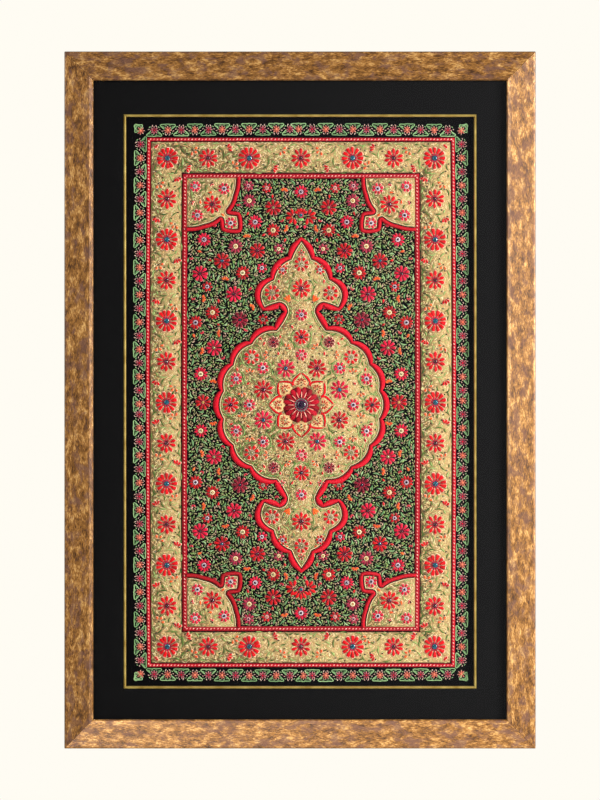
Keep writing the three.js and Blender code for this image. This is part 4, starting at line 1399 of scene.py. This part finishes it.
def work_vine():
    """Small flowers all round, each with a green scroll beside it, outside and inside in turn."""
    for x, y, out, side, corner in vine_spots():
        vine_flower(x, y, "coral" if side > 0 else "pink")
        if corner:
            for turn in (-1, 1):
                way = np.array(turned(*out, turn * math.pi / 4))
                aside = np.array([way[1], -way[0]]) * turn
                vine_scroll(np.array([x, y]) + aside * VINE_CORNER_SHIFT, way, VINE_CORNER_STRETCH)
        else:
            vine_scroll(np.array([x, y]), out * side, 1.0)


def vine_spots():
    """Place, outward direction, side of the scroll and whether it is a corner, of each flower."""
    spots = []
    ways = [((1, -1), (0, 1), "y"), ((1, 1), (-1, 0), "x"), ((-1, 1), (0, -1), "y"), ((-1, -1), (1, 0), "x")]
    for corner, way, axis in ways:
        start = np.array(corner) * VINE_LINE
        length = 2 * VINE_LINE[0 if axis == "x" else 1]
        count, short = VINE_COUNTS[axis], VINE_SHORT_GAP[axis]
        pitch = (length - short) / (count - 1)
        for k in range(count):
            along = pitch * k - (pitch - short) * (k > count // 2)
            place = start + np.array(way) * along
            out = np.array([way[1], -way[0]], float)
            if axis == "x":
                place = place + out * VINE_SWELL * (1 - (place[0] / VINE_LINE[0]) ** 2)
            if k == 0:
                out = np.array(corner) / math.sqrt(2)
            side = 1 if len(spots) % 2 == 0 else -1
            spots.append((*place, out, side, k == 0))
    return spots


def vine_scroll(place, out, stretch):
    """A scroll with its flat side away from the flower, leaves inside it, and tips across from it."""
    along = np.array([-out[1], out[0]])
    heading = math.atan2(along[1], along[0])

    def at(across, up):
        return place + along * across * stretch + out * up

    half = np.array([at(*point) for point in HALF_SCROLL])
    other = np.array([at(-across, up) for across, up in HALF_SCROLL[-2::-1]])
    path = smooth(np.concatenate([half, other]) + rng.normal(0, 0.12, (2 * len(half) - 1, 2)), 3)
    thread("vine_green").cord(path, 1.5, 1.1, -0.1, False)
    for hand in (-1, 1):
        for across, up, degrees, length, width, name in SCROLL_LEAVES + SCROLL_TIPS * (stretch == 1):
            spot = at(hand * across, up)
            angle = heading + hand * math.radians(degrees) + rng.normal(0, 0.12)
            size = rng.uniform(0.9, 1.1)
            thread(name).sew("stitch", *spot, angle, length * size, width, 0.9, -0.1)


def vine_flower(x, y, petals):
    """A little flower of eight pale tipped petals round a bright or a dark middle."""
    count = 8
    angles = all_round(count) + rng.normal(0, 0.06, count)
    places, tips = around(x, y, 3.2, angles), around(x, y, 4.9, angles)
    thread(petals).sew("petal", *places, angles, 4.0, rng.uniform(2.2, 2.6, count), 1.2, 0)
    thread("vine_tip").sew("stitch", *tips, angles, 1.5, 1.3, 0.9, 0)
    if petals == "coral":
        thread("ember").sew_round("bead", x, y, 2.0, 1.3, 0)
    else:
        thread("crimson").sew_round("bead", x, y, 1.4, 1.2, 0)


# Materials


class Nodes:
    """The nodes of a material or a world, added and linked one by one."""

    def __init__(self, tree):
        self.tree = tree

    def add(self, kind, settings=None, **inputs):
        node = self.tree.nodes.new("ShaderNode" + kind)
        for key, value in (settings or {}).items():
            setattr(node, key, value)
        for key, value in inputs.items():
            self.feed(node, key.replace("_", " "), value)
        return node

    def feed(self, node, key, value):
        """Sets or links an input of a node, by its name or its number."""
        self.join(node.inputs[int(key)] if key.isdigit() else node.inputs[key], value)

    def join(self, socket, value):
        """Links another node's output into a socket, or sets its value."""
        if isinstance(value, bpy.types.NodeSocket):
            self.tree.links.new(value, socket)
        else:
            socket.default_value = value


class Material(Nodes):
    """A new material with its shader."""

    def __init__(self, name):
        self.material = bpy.data.materials.new(name)
        self.material.use_nodes = True
        super().__init__(self.material.node_tree)
        self.shader = self.tree.nodes["Principled BSDF"]
        self.output = self.tree.nodes["Material Output"]
        self.place = self.add("TexCoord").outputs["Object"]

    def noise(self, scale, detail, **more):
        """Noise in the space of the object."""
        return self.add("TexNoise", Vector=self.place, Scale=scale, Detail=detail, **more).outputs["Fac"]

    def maths(self, operation, *values):
        """The result of a sum or another operation."""
        node = self.add("Math", {"operation": operation})
        for k, value in enumerate(values):
            self.feed(node, str(k), value)
        return node.outputs[0]

    def total(self, *parts):
        """The sum of values, each given with its share."""
        shares = [self.maths("MULTIPLY", value, share) for value, share in parts]
        result = shares[0]
        for share in shares[1:]:
            result = self.maths("ADD", result, share)
        return result

    def ramp(self, factor, *stops):
        """Colours along a factor, as (place, colour) pairs."""
        node = self.add("ValToRGB", Fac=factor)
        elements = node.color_ramp.elements
        while len(elements) < len(stops):
            elements.new(0.5)
        for element, (place, colour) in zip(elements, stops):
            element.position = place
            element.color = colour
        return node.outputs["Color"]

    def blend(self, factor, one, two):
        """One colour over another."""
        node = self.add("Mix", {"data_type": "RGBA"})
        for key, value in (("Factor", factor), ("A", one), ("B", two)):
            self.join(next(s for s in node.inputs if s.name == key and s.enabled), value)
        return next(s for s in node.outputs if s.enabled)

    def finish(self, bump=None, depth=0.0, **values):
        """Sets the shader's values, and its normal from a height in metres."""
        for key, value in values.items():
            self.feed(self.shader, key.replace("_", " "), value)
        if bump is not None:
            node = self.add("Bump", Height=bump, Distance=depth)
            self.feed(self.shader, "Normal", node.outputs["Normal"])
        return self.material


def thread_finish(name, deep, light, ridges, lustre):
    """Silk or metal thread: fine ridges along or across each stitch, with painted shade in their troughs and
    a painted highlight on their crests, and each stitch a shade apart.
    """
    nodes = Material(name)
    marks = nodes.add("Attribute", {"attribute_name": "thread"})
    dot_product = nodes.add("VectorMath", {"operation": "DOT_PRODUCT"})
    nodes.feed(dot_product, "0", marks.outputs["Vector"])
    nodes.feed(dot_product, "1", (ridges[0] * 2 * math.pi, ridges[1] * 2 * math.pi, 0))
    ridge = nodes.maths("SINE", dot_product.outputs["Value"])
    drawn = nodes.add("SeparateXYZ", Vector=marks.outputs["Vector"]).outputs["Z"]
    fibre, patch = nodes.noise(900.0, 3.0), nodes.noise(45.0, 2.0)
    # The ridge share paints shade into the troughs of the ridges and a highlight onto their crests
    shade = nodes.total((drawn, lustre["spread"]), (fibre, 0.3), (patch, 0.25), (ridge, 0.07))
    middle_colour = tuple((a + b) / 2 for a, b in zip(deep, light))
    low = lustre["spread"] * 0.5 - 0.075
    colour = nodes.ramp(shade, (low, deep), (low + 0.35, middle_colour), (low + 0.7, light))
    height = nodes.total((ridge, 0.5), (fibre, 1.0))
    return nodes.finish(
        bump=height, depth=0.00012, Base_Color=colour, Roughness=lustre["roughness"], Sheen_Weight=0.05,
        Sheen_Roughness=0.4, Specular_IOR_Level=lustre["specular"],
    )


def stone_finish(name, deep, light, roughness=0.08):
    """A polished stone or glass bead with a cloudy inside."""
    nodes = Material(name)
    colour = nodes.ramp(nodes.noise(700.0, 2.0), (0.35, deep), (0.65, light))
    return nodes.finish(Base_Color=colour, Roughness=roughness, Coat_Weight=0.6, Coat_Roughness=0.04)


def velvet_finish():
    nodes = Material("black_velvet")
    pile, drift = nodes.noise(1600.0, 3.0), nodes.noise(22.0, 3.0)
    shade = nodes.total((pile, 0.6), (drift, 0.4))
    colour = nodes.ramp(shade, (0.3, srgb(2, 2, 3)), (0.7, srgb(9, 7, 9)))
    return nodes.finish(
        bump=pile, depth=0.0003, Base_Color=colour, Roughness=0.95, Sheen_Weight=0.01,
        Sheen_Roughness=0.5, Specular_IOR_Level=0.05,
    )


def moulding_finish(name, along):
    """Antique gold leaf in soft patches of gold, ochre and a rubbed purple brown, with dark flecks."""
    nodes = Material(name)

    def drawn_out(shortened, **noise):
        """Noise drawn out along the rail, by how much shorter the grain is across it."""
        scale = (1, shortened, shortened) if along == "x" else (shortened, shortened, 1)
        tilt = (0, math.radians(12), 0)
        place = nodes.add("Mapping", Vector=nodes.place, Rotation=tilt, Scale=scale).outputs["Vector"]
        return nodes.add("TexNoise", Vector=place, **noise).outputs["Fac"]

    def where(noise, low, high, most):
        """How much of a mark shows, none up to a low value of noise and most of it from a high one on."""
        return nodes.add("MapRange", Value=noise, From_Min=low, From_Max=high, To_Max=most).outputs["Result"]

    patch = drawn_out(2.4, Scale=58.0, Detail=6.0, Roughness=0.68)
    brown = drawn_out(1.9, Scale=52.0, Detail=5.0, Roughness=0.65, Distortion=0.4)
    grain = drawn_out(4.0, Scale=240.0, Detail=4.0, Roughness=0.65)
    fleck = drawn_out(3.0, Scale=300.0, Detail=2.0)
    gold = nodes.ramp(
        nodes.total((patch, 0.55), (grain, 0.45)),
        (0.39, srgb(60, 34, 10)),
        (0.46, srgb(106, 68, 24)),
        (0.53, srgb(146, 99, 44)),
        (0.61, srgb(198, 154, 92)),
    )
    worn = where(brown, 0.5, 0.62, 0.75)
    rubbed = nodes.blend(worn, gold, srgb(90, 56, 42))
    colour = nodes.blend(where(fleck, 0.6, 0.72, 0.8), rubbed, srgb(58, 34, 22))
    roughness = nodes.maths("ADD", 0.34, nodes.maths("MULTIPLY", worn, 0.25))
    height = nodes.total((grain, 0.6), (patch, 0.8))
    return nodes.finish(
        bump=height, depth=0.0003, Base_Color=colour, Roughness=roughness, Metallic=0.2,
        Specular_IOR_Level=0.5,
    )


def gilt_finish():
    nodes = Material("gilt")
    drift = nodes.noise(60.0, 4.0)
    colour = nodes.ramp(drift, (0.35, srgb(166, 134, 60)), (0.65, srgb(212, 184, 104)))
    return nodes.finish(bump=drift, depth=0.0002, Base_Color=colour, Roughness=0.28, Metallic=0.55)


def mat_finish():
    nodes = Material("black_mat")
    grain = nodes.noise(1300.0, 3.0)
    colour = nodes.ramp(grain, (0.3, srgb(4, 3, 4)), (0.7, srgb(8, 7, 8)))
    return nodes.finish(bump=grain, depth=0.0001, Base_Color=colour, Roughness=0.85, Specular_IOR_Level=0.1)


def hardboard_finish():
    nodes = Material("hardboard")
    fibre, drift = nodes.noise(240.0, 6.0, Roughness=0.7), nodes.noise(9.0, 3.0)
    shade = nodes.total((fibre, 0.7), (drift, 0.3))
    colour = nodes.ramp(shade, (0.35, srgb(88, 62, 40)), (0.65, srgb(134, 98, 64)))
    return nodes.finish(bump=fibre, depth=0.0003, Base_Color=colour, Roughness=0.8)


def glass_finish():
    """A thin clear pane: light goes straight through, and a little is mirrored."""
    nodes = Material("clear_glass")
    nodes.tree.nodes.remove(nodes.shader)
    through = nodes.add("BsdfTransparent", Color=(0.985, 0.995, 0.99, 1))
    mirror = nodes.add("BsdfGlossy", Color=(1, 1, 1, 1), Roughness=0.02)
    front = nodes.maths("SUBTRACT", 1.0, nodes.add("NewGeometry").outputs["Backfacing"])
    share = nodes.maths("MULTIPLY", nodes.add("Fresnel", IOR=1.35).outputs["Fac"], front)
    mixed = nodes.add("MixShader", Fac=share)
    nodes.join(mixed.inputs[1], through.outputs[0])
    nodes.join(mixed.inputs[2], mirror.outputs[0])
    nodes.join(nodes.output.inputs["Surface"], mixed.outputs[0])
    return nodes.material


# Pieces


def add_object(name, data):
    """An object of the scene with this mesh, light or camera."""
    made = bpy.data.objects.new(name, data)
    bpy.context.scene.collection.objects.link(made)
    return made


def embroidery_pieces():
    """One piece for each thread and stone, riding with the frame."""
    pieces = []
    for name, work in threads.items():
        piece = add_object(name, work.mesh(name))
        if name in STONES:
            deep, light = STONES[name]
            material = stone_finish(name, srgb(*deep), srgb(*light))
        else:
            deep, light, ridges, lustre = FINISHES[name]
            material = thread_finish(name, srgb(*deep), srgb(*light), ridges, lustre)
        piece.data.materials.append(material)
        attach(piece, "root")
        front_map(piece.data)
        pieces.append(piece)
        print("piece", name, len(piece.data.polygons))
    print("triangles", sum(len(p.data.polygons) for p in pieces))
    return pieces


def front_map(mesh):
    """A map laid over the front of the piece, for anyone who paints it."""
    count = len(mesh.vertices)
    places = np.empty(count * 3, np.float32)
    mesh.vertices.foreach_get("co", places)
    places = places.reshape(-1, 3)[:, [0, 2]]
    corners = np.empty(len(mesh.loops), np.int32)
    mesh.loops.foreach_get("vertex_index", corners)
    low, size = places.min(0), np.ptp(places, axis=0).max()
    layer = mesh.uv_layers.new(name="OFBake", do_init=False)
    layer.uv.foreach_set("vector", ((places[corners] - low) / size).astype(np.float32).ravel())


def velvet():
    """The black velvet, a sheet stretched on its board, which carries all the work."""
    low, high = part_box("embroidered_cloth")
    columns, rows = 96, 144
    x = np.linspace(low.x, high.x, columns)
    z = np.linspace(low.z, high.z, rows)
    grid_x, grid_z = np.meshgrid(x, z, indexing="ij")
    ripple = 0.05 * MM * (np.sin(grid_x * 41 + 3 * np.sin(grid_z * 17)) + np.sin(grid_z * 37 + grid_x * 11))
    points = np.stack([grid_x, np.full_like(grid_x, cloth_face) + ripple, grid_z], -1).reshape(-1, 3)
    i, j = np.meshgrid(np.arange(columns - 1), np.arange(rows - 1), indexing="ij")
    first = (i * rows + j).ravel()
    faces = np.stack([first, first + rows, first + rows + 1, first + 1], 1)
    mesh = bpy.data.meshes.new("velvet")
    mesh.from_pydata(points.tolist(), [], faces.tolist())
    mesh.polygons.foreach_set("use_smooth", np.ones(len(faces), bool))
    piece = add_object("velvet", mesh)
    thick = piece.modifiers.new("thickness", "SOLIDIFY")
    thick.thickness = CLOTH_THICKNESS
    thick.offset = -1
    mesh.materials.append(velvet_finish())
    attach(piece, "root")
    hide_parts("embroidered_cloth")


def centre_stone():
    """The large stone on the domed flower, smooth where the plain solid has facets."""
    stone = Thread()
    tilt = np.linspace(0, math.pi / 2, 10, endpoint=False)
    rim = [(STONE_RADIUS * math.cos(t), STONE_LEVEL + 0.3 + 1.8 * math.sin(t)) for t in tilt]
    turn_on_dome(stone, [(STONE_RADIUS, STONE_LEVEL), *rim], STONE_LEVEL, STONE_LEVEL + 2.1, 40)
    piece = add_object("cabochon", stone.mesh("cabochon"))
    piece.data.materials.append(stone_finish("cabochon", srgb(14, 8, 22), srgb(48, 22, 52), 0.05))
    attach(piece, "root")
    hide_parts("centre_stone")


def dress_frame():
    """Materials for the parts of the frame, and softened edges for the fillets."""
    across, upright = moulding_finish("gold_across", "x"), moulding_finish("gold_upright", "z")
    finishes = {
        "rail_top": across,
        "rail_bottom": across,
        "rail_left": upright,
        "rail_right": upright,
        "mat_board": mat_finish(),
        "glass": glass_finish(),
        "backing_board": hardboard_finish(),
    }
    gilt = gilt_finish()
    for side in ("top", "bottom", "left", "right"):
        finishes[f"fillet_{side}"] = gilt
    for name, material in finishes.items():
        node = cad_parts[name]
        node.data.materials.clear()
        node.data.materials.append(material)
        if name.startswith("fillet"):
            edge = node.modifiers.new("worn_edges", "BEVEL")
            edge.width = 0.35 * MM
            edge.segments = 2
            edge.limit_method = "ANGLE"
            edge.angle_limit = math.radians(25)
            edge.harden_normals = False


# The studio


def add_camera():
    """Straight on to the face of the frame, far enough off that its sides don't show."""
    camera = bpy.data.cameras.new("camera")
    camera.lens, camera.sensor_width = CAMERA_LENS, 36
    holder = add_object("camera", camera)
    holder.location = (0, cad_box[0].y - CAMERA_DISTANCE, middle.z)
    holder.rotation_euler = (math.pi / 2, 0, 0)
    bpy.context.scene.camera = holder


def add_light(name, place, target, size, power, colour=(1, 1, 1)):
    light = bpy.data.lights.new(name, "AREA")
    light.shape = "RECTANGLE"
    light.size, light.size_y = size
    light.energy = power
    light.color = colour
    holder = add_object(name, light)
    holder.location = place
    aim = Vector(target) - Vector(place)
    holder.rotation_euler = aim.to_track_quat("-Z", "Y").to_euler()
    return holder


def add_rail_gloss():
    """A pane of light that falls on the right and the bottom rail only, where the gold is brightest."""
    gloss = add_light("rail_gloss", *RAIL_GLOSS)
    rails = bpy.data.collections.new("bright_rails")
    for name in ("rail_right", "rail_bottom"):
        rails.objects.link(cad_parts[name])
    gloss.light_linking.receiver_collection = rails


def add_world():
    """A cream backdrop for the camera and soft light from all round, dark where the glass mirrors it."""
    world = bpy.data.worlds.new("studio")
    bpy.context.scene.world = world
    world.use_nodes = True
    nodes = Nodes(world.node_tree)
    nodes.tree.nodes.clear()
    way = nodes.add("SeparateXYZ", Vector=nodes.add("TexCoord").outputs["Generated"]).outputs
    ahead = nodes.add("MapRange", Value=way["Y"], From_Min=-0.96, From_Max=-0.78).outputs["Result"]
    left, right = MIRRORED_ROOM
    aside = nodes.add("MapRange", Value=way["X"], From_Min=-0.07, From_Max=0.08, To_Min=left, To_Max=right)
    strength = nodes.add("Mix", Factor=ahead, A=aside.outputs["Result"], B=WORLD_STRENGTH).outputs["Result"]
    soft = nodes.add("Background", Color=(0.95, 0.97, 1, 1), Strength=strength)
    shown = nodes.add("Background", Color=srgb(255, 252, 243))
    chosen = nodes.add("MixShader", Fac=nodes.add("LightPath").outputs["Is Camera Ray"])
    nodes.join(chosen.inputs[1], soft.outputs[0])
    nodes.join(chosen.inputs[2], shown.outputs[0])
    output = nodes.add("OutputWorld")
    nodes.join(output.inputs["Surface"], chosen.outputs[0])


def add_floor():
    """A round pale floor below the frame."""
    sides, radius, drop = 96, 1.35, 0.3
    x, y = around(0, 0, radius, all_round(sides))
    rim = np.stack([x, y, np.full(sides, cad_box[0].z - drop)], 1)
    mesh = bpy.data.meshes.new("floor")
    mesh.from_pydata(rim.tolist(), [], [list(range(sides))])
    floor = add_object("floor", mesh)
    mesh.materials.append(Material("pale_floor").finish(Base_Color=srgb(232, 228, 218), Roughness=0.9))


def light_studio():
    add_world()
    add_floor()
    bpy.context.scene.view_settings.view_transform = "Standard"
    add_light("key", *KEY)
    add_light("fill", *FILL)
    add_rail_gloss()


regions = lay_grounds()
lay_guards()
lay_outlines()
lay_dome()
lay_arches(regions["medallion"])
work_border()
work_medallion()
work_corners()
fill_tan(regions["border"] | regions["medallion"])
work_vine()
work_field(regions["field"])
made = embroidery_pieces()
centre_stone()
velvet()
dress_frame()
add_camera()
light_studio()
